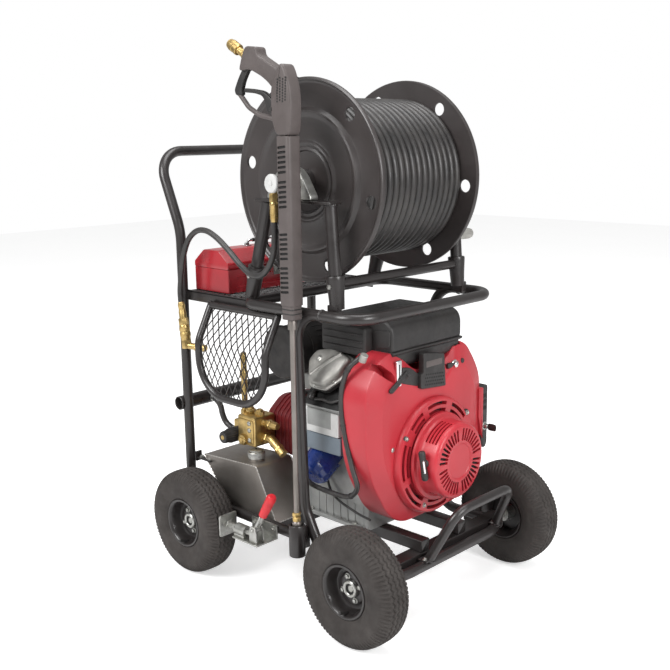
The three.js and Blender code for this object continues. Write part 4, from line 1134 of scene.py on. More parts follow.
class WASHER_OT_shelf(bpy.types.Operator):
    """Expanded-metal shelf in an angle frame, and the guard that drops from its near edge"""

    bl_idname = "washer.shelf"
    bl_label = "Shelf and guard"

    def execute(self, context):
        low, high = span("shelf")
        shape = Shape()
        for side in (-1, 1):
            y0, y1 = sorted((side * high[1], side * (high[1] - 3)))
            block(shape, (low[0], y0, high[2] - 26), (high[0], y1, high[2]), 0.8, 0, "x")
            y0, y1 = sorted((side * high[1], side * (high[1] - 22)))
            block(shape, (low[0], y0, high[2] - 5), (high[0], y1, high[2] - 2), 0.8, 0, "x")
        for x0, x1 in ((low[0], low[0] + 20), (high[0] - 20, high[0])):
            block(shape, (x0, low[1] + 3, high[2] - 5.2), (x1, high[1] - 3, high[2] - 2.2), 0.8, 0, "y")
        width, height = sizes().mesh_width, sizes().mesh_height
        outline = rectangle(low[0] + 3, high[0] - 3, low[1] + 3, high[1] - 3)
        lattice(
            shape, outline, lambda s, t: np.stack((s, t, np.full_like(s, high[2] - 1.8)), axis=1), width,
            height, 1.7,
        )
        piece("shelf_expanded_metal", shape, finish("powder_coat"), "cart", ["shelf"])
        self.guard(width, height)
        return {"FINISHED"}

    def guard(self, width, height):
        low, high = span("drop_guard")
        radius = 9
        x0, x1, bottom, top = low[0] + radius, high[0] - radius, low[2] + radius, high[2] - radius
        edge, outer = high[1] - radius, low[1] + radius
        knee = top - 84
        corners = [
            (x0, edge, top), (x0, outer, knee), (x0, outer, bottom), (x1, outer, bottom), (x1, outer, knee),
            (x1, edge, top),
        ]
        shape = Shape()
        sweep(shape, bent(corners, (60, 95, 95, 60), 14), radius, 26)
        sweep(shape, np.array(((x0, edge, top), (x1, edge, top))), radius, 26)
        for x in (x0, x1):
            weld(shape, (x, edge, top), X, radius + 0.4, bead=1.8)
        slope = math.hypot(edge - outer, 84)

        def folded(s, t):
            """Straight up to the knee, then leaning in to the shelf's edge."""
            share = np.clip((t - (knee - bottom)) / slope, 0, 1)
            y = outer + share * (edge - outer)
            z = bottom + np.minimum(t, knee - bottom) + share * 84
            return np.stack((s, y, z), axis=1)

        outline = [
            (x0 + 2, 74), (x0 + 2, knee - bottom + slope), (x1 - 2, knee - bottom + slope), (x1 - 2, 74),
            (x1 - 14, 36), (x1 - 36, 14), (x1 - 74, 3), (x0 + 74, 3), (x0 + 36, 14), (x0 + 14, 36),
        ]
        lattice(shape, outline, folded, width, height, 1.5)
        piece("guard_expanded_metal", shape, finish("powder_coat"), "cart", ["drop_guard"])


# ---------------------------------------------------------------- reel

REEL_X, REEL_Z = REEL[0], REEL[2]
STAND_Y = span("reel_bearing_far")[0][1] + 17
PLATE_Z = REEL_Z - 44
SLEEVE_LOW = DECK_Z + TUBE + GAP


def reel_stand():
    shape = Shape()
    fronts = (REEL_X + 135, REEL_X + 118)
    backs = (REEL_X - 146, REEL_X - 82)
    tie_z = DECK_Z + 68
    tie_x = fronts[0] - (fronts[0] - fronts[1]) / (PLATE_Z - SLEEVE_LOW) * (tie_z - SLEEVE_LOW)
    sweep(shape, np.array(((tie_x, -STAND_Y, tie_z), (tie_x, STAND_Y, tie_z))), 11, 28)
    for side in (-1, 1):
        y = side * STAND_Y
        block(shape, (REEL_X - 108, y - 20, PLATE_Z), (REEL_X + 134, y + 20, PLATE_Z + 6), 1.4, 6)
        weld(shape, (tie_x, y - side * 16, tie_z), Y, 11)
        for foot, head in (fronts, backs):
            low, top = np.array((foot, y, SLEEVE_LOW)), np.array((head, y, PLATE_Z + 1))
            share = 72 / (PLATE_Z - SLEEVE_LOW)
            ahead = unit(top - low)
            sweep(shape, np.stack((low, top)), 14.3, 30)
            length = np.linalg.norm(top - low) * share
            sleeve = [
                (0, 0), (16.5, 0), (16.5, 3), (18, length * 0.45), (20.6, length - 9), (21, length - 3),
                (20, length), (15, length + 0.6),
            ]
            turn(shape, sleeve, low, ahead, 40)
            weld(shape, top - ahead * 3, ahead, 14.6)
            hexagon(shape, low + ahead * length * 0.7 + (0, side * 18.5, 0), (0, side, 0), 5.4, 5, slot=1)
        y0, y1 = sorted((y, side * (DECK_Y - TUBE - GAP)))
        block(shape, (fronts[0] - 14, y0, DECK_Z - 4), (fronts[0] + 14, y1, SLEEVE_LOW + 10), 1.5)
    piece("reel_stand_frames", shape, finish("powder_coat", "zinc_plate"), "cart", ["reel_stand"])


def bearings():
    for side, word in ((-1, "near"), (1, "far")):
        shape = Shape()
        y = side * STAND_Y
        base = PLATE_Z + 6 + GAP
        right = [
            (70, base), (70, base + 9), (56, REEL_Z - 6), (42, REEL_Z + 16), (26, REEL_Z + 31),
            (0, REEL_Z + 38),
        ]
        outline = np.array([(REEL_X + u, v) for u, v in right] + [(REEL_X - u, v) for u, v in right[-2::-1]])
        plate(shape, softened(outline, 9), "y", y - 13, y + 13, 3)
        ahead = (0, side, 0)
        place = (REEL_X, y, REEL_Z)
        ring = [
            (16.4, -17), (29, -17), (31, -14), (31, 13), (29, 16), (26, 17), (24, 15), (21, 15), (20, 17),
            (16.4, 17), (16.4, -17),
        ]
        turn(shape, ring, place, ahead, 56)
        for step in (-48, 48):
            bolt(shape, (REEL_X + step, y, base + 13), Z, 7, 5.5, slot=1)
        turn(
            shape, [(0, 0), (3, 0), (3, 5), (2, 6), (2.6, 8), (1.4, 10), (0, 10)],
            (REEL_X - 14, y, REEL_Z + 31), (-0.4, 0, 1), 16, slot=1,
        )
        piece(
            f"pillow_block_{word}", shape, finish("zinc_plate", "cast_alloy"), "cart",
            [f"reel_bearing_{word}"],
        )


def flange(side, word, first):
    """A pressed disc with steps, a rolled edge and six holes; the first is at an angle from the top."""
    face = side * 166.0
    ahead = (0, side, 0)
    R = FLANGE_R
    profile = [
        (16.4, 4), (64, 4), (67, 5), (70, 9), (73, 10), (76, 9), (79, 7), (82, 8.6), (85, 10), (88, 9),
        (91, 5.4),
        (94, 4.2), (140, 4.2), (145, 6), (149, 9.6), (153, 10.6), (157, 9.4), (161, 4), (164, 0.8), (168, 0),
        (R - 15, 0),
        (R - 11, 0.8), (R - 8, 3.4),
        (R - 6.4, 5.8), (R - 4, 7), (R - 1.6, 6), (R - 0.2, 3.4), (R, 0), (R - 0.6, -3.6), (R - 2.4, -5),
        (R - 6, -5),
        (148, -5), (70, -4.6), (16.4, -5), (16.4, 0),
    ]
    shape = Shape()
    turn(shape, profile, (REEL_X, face, REEL_Z), ahead, 160)
    made = piece(
        f"flange_disc_{word}", shape, finish("pressed_paint"), "reel", [f"reel_flange_{word}"], angle=30
    )
    holes = Shape()
    for angle in np.radians(first + 60 * np.arange(6)):
        place = np.array((REEL_X + (R - 34) * np.sin(angle), face - 20, REEL_Z + (R - 34) * np.cos(angle)))
        turn(holes, [(0, 0), (15, 0), (15, 40), (0, 40)], place, Y, 48)
    carve(made, holes, 30)


def wound_hose():
    """Turns of hose side by side: each is a ring that moves over by one pitch within a short arc."""
    low, high = span("hose_pack")
    radius = sizes().hose_radius
    turns = int((high[1] - low[1]) // sizes().hose_pitch)
    pitch = (high[1] - low[1]) / turns
    steps = 132
    angle = np.arange(turns * steps + 1) * 2 * np.pi / steps
    cross = 0.62 * 2 * np.pi
    whole = np.floor(angle / (2 * np.pi))
    share = np.clip((angle % (2 * np.pi) - cross) / 0.6, 0, 1)
    y = low[1] + pitch * (0.5 + whole + share**2 * (3 - 2 * share))
    y = np.minimum(y, high[1] - pitch / 2)
    centre_radius = (high[2] - low[2]) / 2 - radius
    path = np.stack(
        (REEL_X + centre_radius * np.sin(angle), y, REEL_Z + centre_radius * np.cos(angle)), axis=1
    )
    ahead = unit(np.gradient(path, axis=0))
    out = unit(path - np.array((REEL_X, 0, REEL_Z)) * (1, 0, 1) - np.stack((0 * y, y, 0 * y), axis=1))
    over = np.cross(ahead, out)
    ring = ring_angles(16)[None, :, None]
    rings = path[:, None] + radius * (np.cos(ring) * out[:, None] + np.sin(ring) * over[:, None])
    shape = Shape()
    shape.grid(rings, wrap_columns=True)
    shape.cap(rings[0])
    shape.cap(rings[-1])
    under = centre_radius - 2
    half = (high[1] - low[1]) / 2 - 0.5
    rows = [(70.5, -half)]
    for y in np.arange(-half, half, pitch):
        rows += [(under - 8, y), (under - 2, y + pitch / 4), (under - 2, min(half, y + 3 * pitch / 4))]
    turn(shape, rows + [(70.5, half), (70.5, -half)], (REEL_X, (low[1] + high[1]) / 2, REEL_Z), Y, 96)
    piece("wound_hose", shape, finish("hose_rubber"), "reel", ["hose_pack"], angle=60)


def drum_and_shaft():
    shape = Shape()
    low, high = span("reel_drum")
    half = 160.6
    turn(
        shape,
        [
            (0, low[1]), (15, low[1]), (16, low[1] + 1), (16, -half), (69, -half), (69, half), (16, half),
            (16, high[1] - 1), (15, high[1]), (0, high[1]),
        ],
        (REEL_X, 0, REEL_Z), Y, 64,
    )
    for side in (-1, 1):
        ahead = (0, side, 0)
        hub = [(16.2, 0), (28, 0), (28, 16), (26, 18), (16.2, 18), (16.2, 0)]
        turn(shape, hub, (REEL_X, side * 168.6, REEL_Z), ahead, 64)
        collar = [(16.2, 0), (22, 0), (23, 1), (23, 7), (22, 8), (16.2, 8), (16.2, 0)]
        turn(shape, collar, (REEL_X, side * (STAND_Y + 18), REEL_Z), ahead, 40, slot=1)
    piece("drum_and_hubs", shape, finish("powder_coat", "zinc_plate"), "reel", ["reel_drum"])


def crank():
    grip = core("crank_grip")
    inner = span("crank_arm")[0][1]
    shape = Shape()
    turn(
        shape, [(16.3, 0), (23, 0), (24, 1), (24, 15), (23, 16), (16.3, 16), (16.3, 0)],
        (REEL_X, inner, REEL_Z), Y, 48,
    )
    end = np.array((grip[0], grip[2]))
    start = np.array((REEL_X, REEL_Z))
    along = unit(end - start)
    across = np.array((-along[1], along[0]))
    outline = [
        start + across * 14 + along * 20, start - across * 14 + along * 20, end - across * 11,
        end + across * 11,
    ]
    plate(shape, softened(outline, 3), "y", inner, inner + 8, 1.2)
    rod(shape, (end[0], inner, end[1]), (end[0], inner + 8, end[1]), 14, 32)
    rod(shape, (end[0], inner + 4, end[1]), (end[0], inner + 86, end[1]), 5, 24, slot=1)
    turn(shape, [(0, 0), (9, 0), (9, 1.6), (6, 4), (0, 4.6)], (end[0], inner + 81.4, end[1]), Y, 24, slot=1)
    hexagon(shape, (REEL_X, inner + 8, REEL_Z + 22.6), (0, 0, 1), 5, 5, slot=1)
    piece("crank_lever", shape, finish("powder_coat", "zinc_plate"), "reel", ["crank_arm"])
    shape = Shape()
    low = span("crank_grip")[0]
    profile = [
        (5.3, 0), (11, 0), (12.4, 1), (14, 10), (13, 22), (13.4, 40), (14, 60), (12.4, 70), (11, 72),
        (5.3, 72), (5.3, 0),
    ]
    turn(shape, profile, (grip[0], low[1], grip[2]), Y, 40)
    piece("crank_knob", shape, finish("cast_alloy"), "crank_handle", ["crank_grip"])


class WASHER_OT_reel(bpy.types.Operator):
    """Hose reel: stand, bearings, flanges, drum, wound hose and crank"""

    bl_idname = "washer.reel"
    bl_label = "Hose reel"

    def execute(self, context):
        reel_stand()
        bearings()
        flange(-1, "near", 42)
        flange(1, "far", 36)
        wound_hose()
        drum_and_shaft()
        crank()
        return {"FINISHED"}


# ---------------------------------------------------------------- feed hose and its fittings

SWIVEL = span("swivel")


def feed_hose():
    """The hose's centre line runs through the same points as the CAD hose."""
    feed_y = SWIVEL[0][1] + 9.5
    coupler_top = np.array((-348, -252, 684))
    points = [
        (REEL_X, feed_y, REEL_Z - 84), (REEL_X, feed_y, REEL_Z - 109), (REEL_X - 4, feed_y, REEL_Z - 146),
        (REEL_X - 20, feed_y + 2, REEL_Z - 179), (-24, feed_y + 6, 783), (-62, feed_y + 10, 780),
        (-104, feed_y + 14, 798),
        (-150, feed_y + 17, 829), (-194, feed_y + 18, 856), (-232, feed_y + 18, 870),
        (-268, feed_y + 18, 868),
        (-300, feed_y + 17, 847), (-326, -253, 805), (-342, -252, 752), (-349, -252, 712),
        coupler_top + (-0.2, 0, 0.9),
    ]
    path = evenly(spline(points, 600), 260)
    shape = Shape()
    sweep(shape, path, 7, 22)
    made = piece("feed_hose_tube", shape, finish("hose_rubber"), "cart", ["feed_hose"], angle=60)


def swivel():
    """A brass elbow on the shaft's end with a pale enamel cap, a nut and a tapered ferrule."""
    feed_y = SWIVEL[0][1] + 9.5
    shape = Shape()
    outer = SWIVEL[0][1]
    place = (REEL_X, outer, REEL_Z)
    body = [(0, 8), (12, 8), (13, 9), (13, 19.6), (0, 19.6)]
    turn(shape, body, place, Y, 48)
    disc = [(0, 0.6), (9, 0.6), (10, 0), (18.6, 0), (20.6, 1.6), (21, 3), (21, 7), (20, 8.4), (0, 8.4)]
    turn(shape, disc, place, Y, 72, slot=1)
    hexagon(shape, (REEL_X, outer + 1.2, REEL_Z), -Y, 6, 1.6, slot=1)
    hexagon(shape, (REEL_X, feed_y, REEL_Z - 40), Z, 10, 18)
    rod(shape, (REEL_X, feed_y, REEL_Z - 24), (REEL_X, feed_y, REEL_Z - 6), 8.4, 32)
    ferrule = [
        (0, 0), (7.6, 0), (8, 0.6), (8, 3), (8.8, 6), (9, 14), (9.4, 20), (9.4, 34), (10, 36), (10, 41),
        (8.6, 43.4), (0, 43.4),
    ]
    turn(shape, ferrule, (REEL_X, feed_y, REEL_Z - 83.7), Z, 40)
    for height in (-76, -70, -64):
        turn(
            shape, [(8.4, 0), (9.6, 0.8), (9.6, 2), (8.4, 2.8), (8.4, 0)], (REEL_X, feed_y, REEL_Z + height),
            Z, 40,
        )
    piece("swivel_fitting", shape, finish("brass_metal", "pale_cover"), "cart", ["swivel"])


def quick_coupler():
    top, bottom = np.array((-348.0, -252, 684)), np.array((-330.0, -252, 566))
    along = bottom - top
    length = np.linalg.norm(along)
    at = lambda share: top + along * share
    shape = Shape()
    barrel = [
        (0, 0), (7.4, 0), (8, 0.8), (8, 5), (9, 6), (9, 12), (8.4, 13), (8.4, 22), (9.4, 24),
        (9.4, 0.37 * length), (0, 0.37 * length),
    ]
    turn(shape, barrel, top, along, 40)
    hexagon(shape, at(0.34), along, 12.4, 0.16 * length)
    sleeve = [
        (0, 0), (11, 0), (12.6, 2), (12.6, 6), (13.5, 7), (13.5, 15), (12.8, 16), (12.8, 20), (13.5, 21),
        (13.5, 29), (12, 32), (12, 0.34 * length), (0, 0.34 * length),
    ]
    turn(shape, sleeve, at(0.48), along, 56, flutes=28, depth=0.16)
    hexagon(shape, at(0.8), along, 12.4, 0.2 * length - 1)
    outlet = unit((54, 20, -4))
    spigot = [
        (0, 0), (8.4, 0), (8.4, 26), (11, 27), (11, 37), (8.6, 38), (8.6, 42), (9.4, 43), (9.4, 50), (8, 56),
        (0, 57),
    ]
    turn(shape, spigot, at(0.93), outlet, 40)
    hexagon(shape, at(0.93) + outlet * 26, outlet, 12, 10)
    piece("coupler_fittings", shape, finish("brass_metal"), "cart", ["quick_coupler"])


class WASHER_OT_feed(bpy.types.Operator):
    """Feed hose with its swivel and quick coupler"""

    bl_idname = "washer.feed"
    bl_label = "Feed hose"

    def execute(self, context):
        feed_hose()
        swivel()
        quick_coupler()
        return {"FINISHED"}


# ---------------------------------------------------------------- spray gun

LANCE_X, LANCE_Y = LANCE[0], LANCE[1]


def on_gun(corners):
    """Corners given from the lance's axis and the grip's top."""
    return np.asarray(corners, float) + (LANCE_X, GUN_Z + GAP)


def lance():
    shape = Shape()
    low, high = span("lance_tube")
    place = (LANCE_X, LANCE_Y, low[2])
    profile = [
        (0, 0), (8, 0), (10.4, 1.4), (11, 3), (11, 62), (10.2, 63), (10.2, 66), (11, 67), (11, 70), (9.4, 73),
        (7.5, 75),
        (6.4, 84), (6.4, high[2] - low[2] - 22), (0, high[2] - low[2] - 22),
    ]
    turn(shape, profile, place, Z, 40)
    turn(
        shape, [(0, 0), (8.2, 0), (9.6, 1.4), (9.6, 10), (8.2, 11.4), (0, 11.4)],
        (LANCE_X, LANCE_Y, low[2] + 74), Z, 40, slot=1,
    )
    hexagon(shape, (LANCE_X, LANCE_Y, low[2] + 86), Z, 10, 9, slot=1)
    turn(
        shape, [(0, 0), (10.4, 0), (10.4, 18), (9, 21.4), (0, 21.4)], (LANCE_X, LANCE_Y, high[2] - 22), Z, 36
    )
    piece("lance_pipe", shape, finish("satin_steel", "brass_metal"), "gun", ["lance_tube"])


def lance_grip():
    """A long square grip with rounded corners and groups of slots near its front edge."""
    low, high = span("lance_grip")
    shape = Shape()
    x, y = LANCE_X, LANCE_Y
    prism(shape, softened(rectangle(x - 18, x + 18, y - 17, y + 17), 9), Z * low[2], Z, 33, 3)
    half_y = (high[1] - low[1]) / 2
    body = softened(rectangle(x - 20, x + 20, y - half_y, y + half_y), 9)
    prism(shape, body, Z * (low[2] + 31), Z, high[2] - low[2] - 31, 2.4)
    made = piece("grip_shell", shape, finish("moulded_grey"), "gun", ["lance_grip"], angle=30)
    cuts = Shape()
    for start in (23, 96, 207, 280):
        for step in range(6):
            slot = slot_outline((x - 2, high[2] - start - step * 10.4), 26, 5.5, 0.1)
            plate(cuts, slot, "y", y - half_y - 2, y - half_y + 3.4)
    carve(made, cuts, 30)
    # Near-black blocks behind the slots: painted shade on the slot floors.
    trim = Shape()
    for start in (23, 96, 207, 280):
        top = high[2] - start + 5
        block(trim, (x - 17, y - half_y + 2.6, top - 62), (x + 13, y - half_y + 5, top), 0.4, slot=1)
    for height in (low[2] + 12, low[2] + 22):
        ring = softened(rectangle(x - 18.7, x + 18.7, y - 17.7, y + 17.7), 9)
        prism(trim, ring, Z * height, Z, 3, 1)
    piece("grip_rings_and_shaded_slot_floors", trim, finish("moulded_black", "painted_shade"), "gun")


def gun_shell():
    half = 18
    x, y = LANCE_X, LANCE_Y
    body = on_gun(
        [
            (-20, 0), (22, 0), (27, 60), (25, 96), (15, 128), (6, 145), (-4, 148), (-15, 137), (-34, 99),
            (-34, 35),
        ]
    )
    handle = on_gun([
        (-10, 134), (-76, 169), (-78, 186), (-114, 190), (-126, 169), (-137, 139), (-102, 141), (-67, 126),
        (-43, 111), (-28, 96),
    ])
    link = on_gun([
        (-130, 150), (-112, 146), (-132, 119), (-140, 100), (-137, 88), (-159, 88), (-164, 100), (-150, 124),
        (-136, 142),
    ])
    shape = Shape()
    plate(shape, softened(body, 14), "y", y - half, y + half, 6, steps=6)
    made = piece("gun_shell", shape, finish("moulded_grey"), "gun", ["gun_body"], angle=32)
    cuts = Shape()
    low_z = GUN_Z + 34
    block(cuts, (x - 42, y - 7, low_z), (x - 18, y + 7, low_z + 50), 0.6)
    carve(made, cuts, 32)
    shape = Shape()
    plate(shape, softened(handle, 10), "y", y - half + 3, y + half - 3, 3, steps=6)
    loop = on_gun([(-152, 92), (-122, 62), (-88, 45), (-28, 33)])
    path = np.stack((loop[:, 0], np.full(4, y), loop[:, 1]), axis=1)
    sweep(shape, bent(path, (40, 60), 10), 5.5, 22)
    plate(shape, softened(link, 8), "y", y - 6, y + 6, 2.6, slot=1)
    piece("gun_handle", shape, finish("moulded_grey", "moulded_black"), "gun", angle=32)
    # The dots are near-black discs: painted shade of small pits in the shell's sides.
    details = Shape()
    for side in (-1, 1):
        ahead = (0, side, 0)
        for row in range(9):
            for column in range(4):
                height = 71 + row * 5.6 + (2.8 if column % 2 else 0)
                place = (x - 12 + column * 8.2 + row * 0.3, y + side * (half - 0.5), GUN_Z + height)
                turn(details, [(0, 0), (2.3, 0), (2.3, 0.62), (0, 0.62)], place, ahead, 12)
    rod(details, (x - 33, y - half - 1.2, GUN_Z + 56), (x - 33, y + half + 1.2, GUN_Z + 56), 4.2, 24, slot=1)
    piece("gun_dots_and_pin", details, finish("painted_shade", "moulded_black"), "gun")


def trigger_and_coupler():
    y = LANCE_Y
    outline = on_gun([
        (-131, 103), (-101, 100), (-70, 95), (-50, 83), (-38, 72), (-26, 70), (-26, 46), (-58, 48), (-65, 74),
        (-74, 85),
        (-98, 91), (-131, 94),
    ])
    shape = Shape()
    plate(shape, softened(outline, 8), "y", y - 6, y + 6, 2.4)
    piece("trigger_strap", shape, finish("moulded_black"), "gun_trigger", ["trigger"])
    shape = Shape()
    base = np.array((LANCE_X - 122, y, GUN_Z + GAP + 168))
    along = np.array((-57, 0, 32.6))
    length = np.linalg.norm(along)
    at = lambda share: base + along * share
    hexagon(shape, at(0), along, 10, 0.22 * length)
    turn(
        shape,
        [
            (0, 0), (8.5, 0), (8.5, 8), (7.4, 9), (7.4, 13), (8.5, 14), (8.5, 0.31 * length),
            (0, 0.31 * length),
        ],
        at(0.2), along, 36,
    )
    sleeve = [
        (0, 0), (11, 0), (12.5, 1.4), (12.5, 9), (11.6, 10), (11.6, 14), (12.5, 15), (12.5, 26), (11, 30),
        (10.6, 0.52 * length - 1),
    ]
    bore = [
        (8.6, 0.52 * length), (6.4, 0.52 * length - 0.6), (6.4, 0.52 * length - 16), (0, 0.52 * length - 16)
    ]
    turn(shape, sleeve + bore, at(0.48), along, 56, flutes=28, depth=0.15)
    piece("gun_inlet", shape, finish("brass_metal"), "gun", ["gun_coupler"])


class WASHER_OT_gun(bpy.types.Operator):
    """Spray gun: lance, grip, shell, trigger and inlet"""

    bl_idname = "washer.gun"
    bl_label = "Spray gun"

    def execute(self, context):
        lance()
        lance_grip()
        gun_shell()
        trigger_and_coupler()
        return {"FINISHED"}


# ---------------------------------------------------------------- tool box

BOX_LOW, BOX_HIGH = span("toolbox_body")
LID_HIGH = span("toolbox_lid")[1]


class WASHER_OT_toolbox(bpy.types.Operator):
    """Tool box with a bevelled lid, a carrying handle and a latch"""

    bl_idname = "washer.toolbox"
    bl_label = "Tool box"

    def execute(self, context):
        low, high = BOX_LOW, BOX_HIGH
        seam = high[2]
        shape = Shape()
        outer = softened(rectangle(low[0], high[0], low[1], high[1]), 4)
        inner = softened(rectangle(low[0] + 2, high[0] - 2, low[1] + 2, high[1] - 2), 3)
        heights = (
            (outer, low[2] + 1.6), (outer, seam - 0.6), (outer, seam), (inner, seam), (inner, low[2] + 2.4)
        )
        rows = np.stack([np.column_stack((ring, np.full(len(ring), height))) for ring, height in heights])
        shape.grid(rows, wrap_columns=True)
        floor_ring = drawn_in(outer, 1.6)
        shape.grid(
            np.stack((np.column_stack((floor_ring, np.full(len(outer), low[2]))), rows[0])),
            wrap_columns=True,
        )
        shape.cap(np.column_stack((floor_ring, np.full(len(outer), low[2]))))
        shape.cap(rows[-1])
        piece("box_shell", shape, finish("box_paint"), "cart", ["toolbox_body"])
        details = Shape()
        for height in (low[2] + 14, low[2] + 40):
            for x in (high[0] - 0.4, low[0] + 0.4):
                sweep(details, np.array(((x, low[1] + 26, height), (x, high[1] - 26, height))), 1.6, 12)
        piece("box_swages", details, finish("box_paint"), "cart")
        self.lid(low, high, seam)
        self.latch(high, seam)
        return {"FINISHED"}

    def lid(self, low, high, seam):
        """The lid's outline is carried along Y and hollowed from below; its handle is held in two brackets
        with pins.
        """
        top = LID_HIGH[2] - 18.5
        outline = [
            (low[0], seam + GAP), (high[0], seam + GAP), (high[0], seam + 15), (high[0] - 38, top),
            (low[0] + 38, top), (low[0], seam + 15),
        ]
        shape = Shape()
        plate(shape, softened(outline, 5), "y", low[1], high[1], 1.6)
        made = piece("lid_shell", shape, finish("box_paint"), "lid", ["toolbox_lid"], angle=30)
        room = Shape()
        inner = [
            (low[0] + 3, seam - 5), (high[0] - 3, seam - 5), (high[0] - 3, seam + 13.4),
            (high[0] - 39.4, top - 3), (low[0] + 39.4, top - 3), (low[0] + 3, seam + 13.4),
        ]
        plate(room, inner, "y", low[1] + 2.5, high[1] - 2.5)
        carve(made, room, 30)
        middle_x, middle_y = (low[0] + high[0]) / 2, (low[1] + high[1]) / 2
        handle = Shape()
        for side in (-1, 1):
            y = middle_y + side * 46
            block(handle, (middle_x - 10, y - 9, top - 0.6), (middle_x + 10, y + 9, top + 2), 0.8, 3, slot=1)
            rod(handle, (middle_x, y - 6, top + 4.6), (middle_x, y + 6, top + 4.6), 4, 20, slot=1)
            for step in (-6, 6):
                turn(
                    handle, [(0, 0), (2.2, 0), (1.6, 1), (0, 1.2)],
                    (middle_x + step, y + side * 6, top + 1.9), Z, 14, slot=1,
                )
        path = bent(
            [
                (middle_x, middle_y - 47, top + 3), (middle_x, middle_y - 40, top + 13.6),
                (middle_x, middle_y + 40, top + 13.6), (middle_x, middle_y + 47, top + 3),
            ],
            8, 8,
        )
        sweep(handle, path, 3.4, 20, slot=1)
        grip = [(0, -28), (4.2, -28), (4.9, -26), (4.9, 26), (4.2, 28), (0, 28)]
        turn(handle, grip, (middle_x, middle_y, top + 13.6), Y, 28)
        for side in (-1, 1):
            y = middle_y + side * 118
            block(
                handle, (low[0] - 2.2, y - 16, seam - 16), (low[0] + 0.4, y + 16, seam + 12), 0.6, 0, slot=1
            )
        piece("lid_handle", handle, finish("moulded_black", "chrome_plate"), "lid")

    def latch(self, high, seam):
        place = core("toolbox_latch")
        shape = Shape()
        x = high[0] + GAP
        block(shape, (x, place[1] - 16, seam - 26), (x + 1.6, place[1] + 16, seam + 10), 0.5, 2, "x")
        plate(
            shape, softened(rectangle(place[1] - 12, place[1] + 12, seam - 20, seam - 1), 4), "x", x + 1.2,
            x + 3.6, 1,
        )
        rod(shape, (x + 2.6, place[1] - 14, seam + 4), (x + 2.6, place[1] + 14, seam + 4), 1.8, 16)
        # A near-black slot-shaped sheet on the latch: painted shade of its slot.
        plate(shape, slot_outline((place[1], seam - 12), 12, 5, 0.0), "x", x + 3, x + 3.9, 0.3, slot=1)
        piece("latch_plate", shape, finish("zinc_plate", "painted_shade"), "latch", ["toolbox_latch"])


# ---------------------------------------------------------------- pump


def crankcase():
    low, high = span("pump_crankcase")
    back, front = low[0], high[0] - 42
    shape = Shape()
    outline = np.array(
        [(-108, -62), (62, -68), (70, 30), (40, 72), (-60, 78), (-108, 40)], float
    ) + (0, CRANK_Z)
    plate(shape, softened(outline, 16), "x", back + 8, front - 8, 5, steps=6)
    inner = drawn_in(counterclockwise(softened(outline, 16)), 6)
    plate(shape, inner, "x", back, front, 3)
    for depth in np.arange(back + 26, front - 20, 14):
        plate(shape, drawn_in(counterclockwise(softened(outline, 16)), -2.4), "x", depth, depth + 4, 1.2)
    turn(
        shape, [(0, -4), (58, -4), (60, 8), (66, 16), (72, 34), (72, 41.4), (0, 41.4)], (front, 0, CRANK_Z),
        X, 72,
    )
    for angle in ring_angles(6, 0.3):
        bolt(shape, (front + 26, 66 * np.cos(angle), CRANK_Z + 66 * np.sin(angle)), -X, 5, 5, slot=1)
    for y, z in outline * (0.84, 1):
        bolt(shape, (back + 0.2, y * 0.95, CRANK_Z + (z - CRANK_Z) * 0.8), -X, 5, 4, slot=1)
    turn(shape, [(0, 0), (12, 0), (12, 8), (9, 10), (0, 10)], (back + 60, -20, CRANK_Z + 76), Z, 30, slot=2)
    turn(shape, [(0, 0), (14, 0), (14, 2), (10, 4), (0, 4)], (back + 0.5, -60, CRANK_Z - 20), -X, 36, slot=3)
    names = finish("casting_paint", "zinc_plate", "moulded_black", "brass_metal")
    piece("crankcase_casting", shape, names, "cart", ["pump_crankcase"])


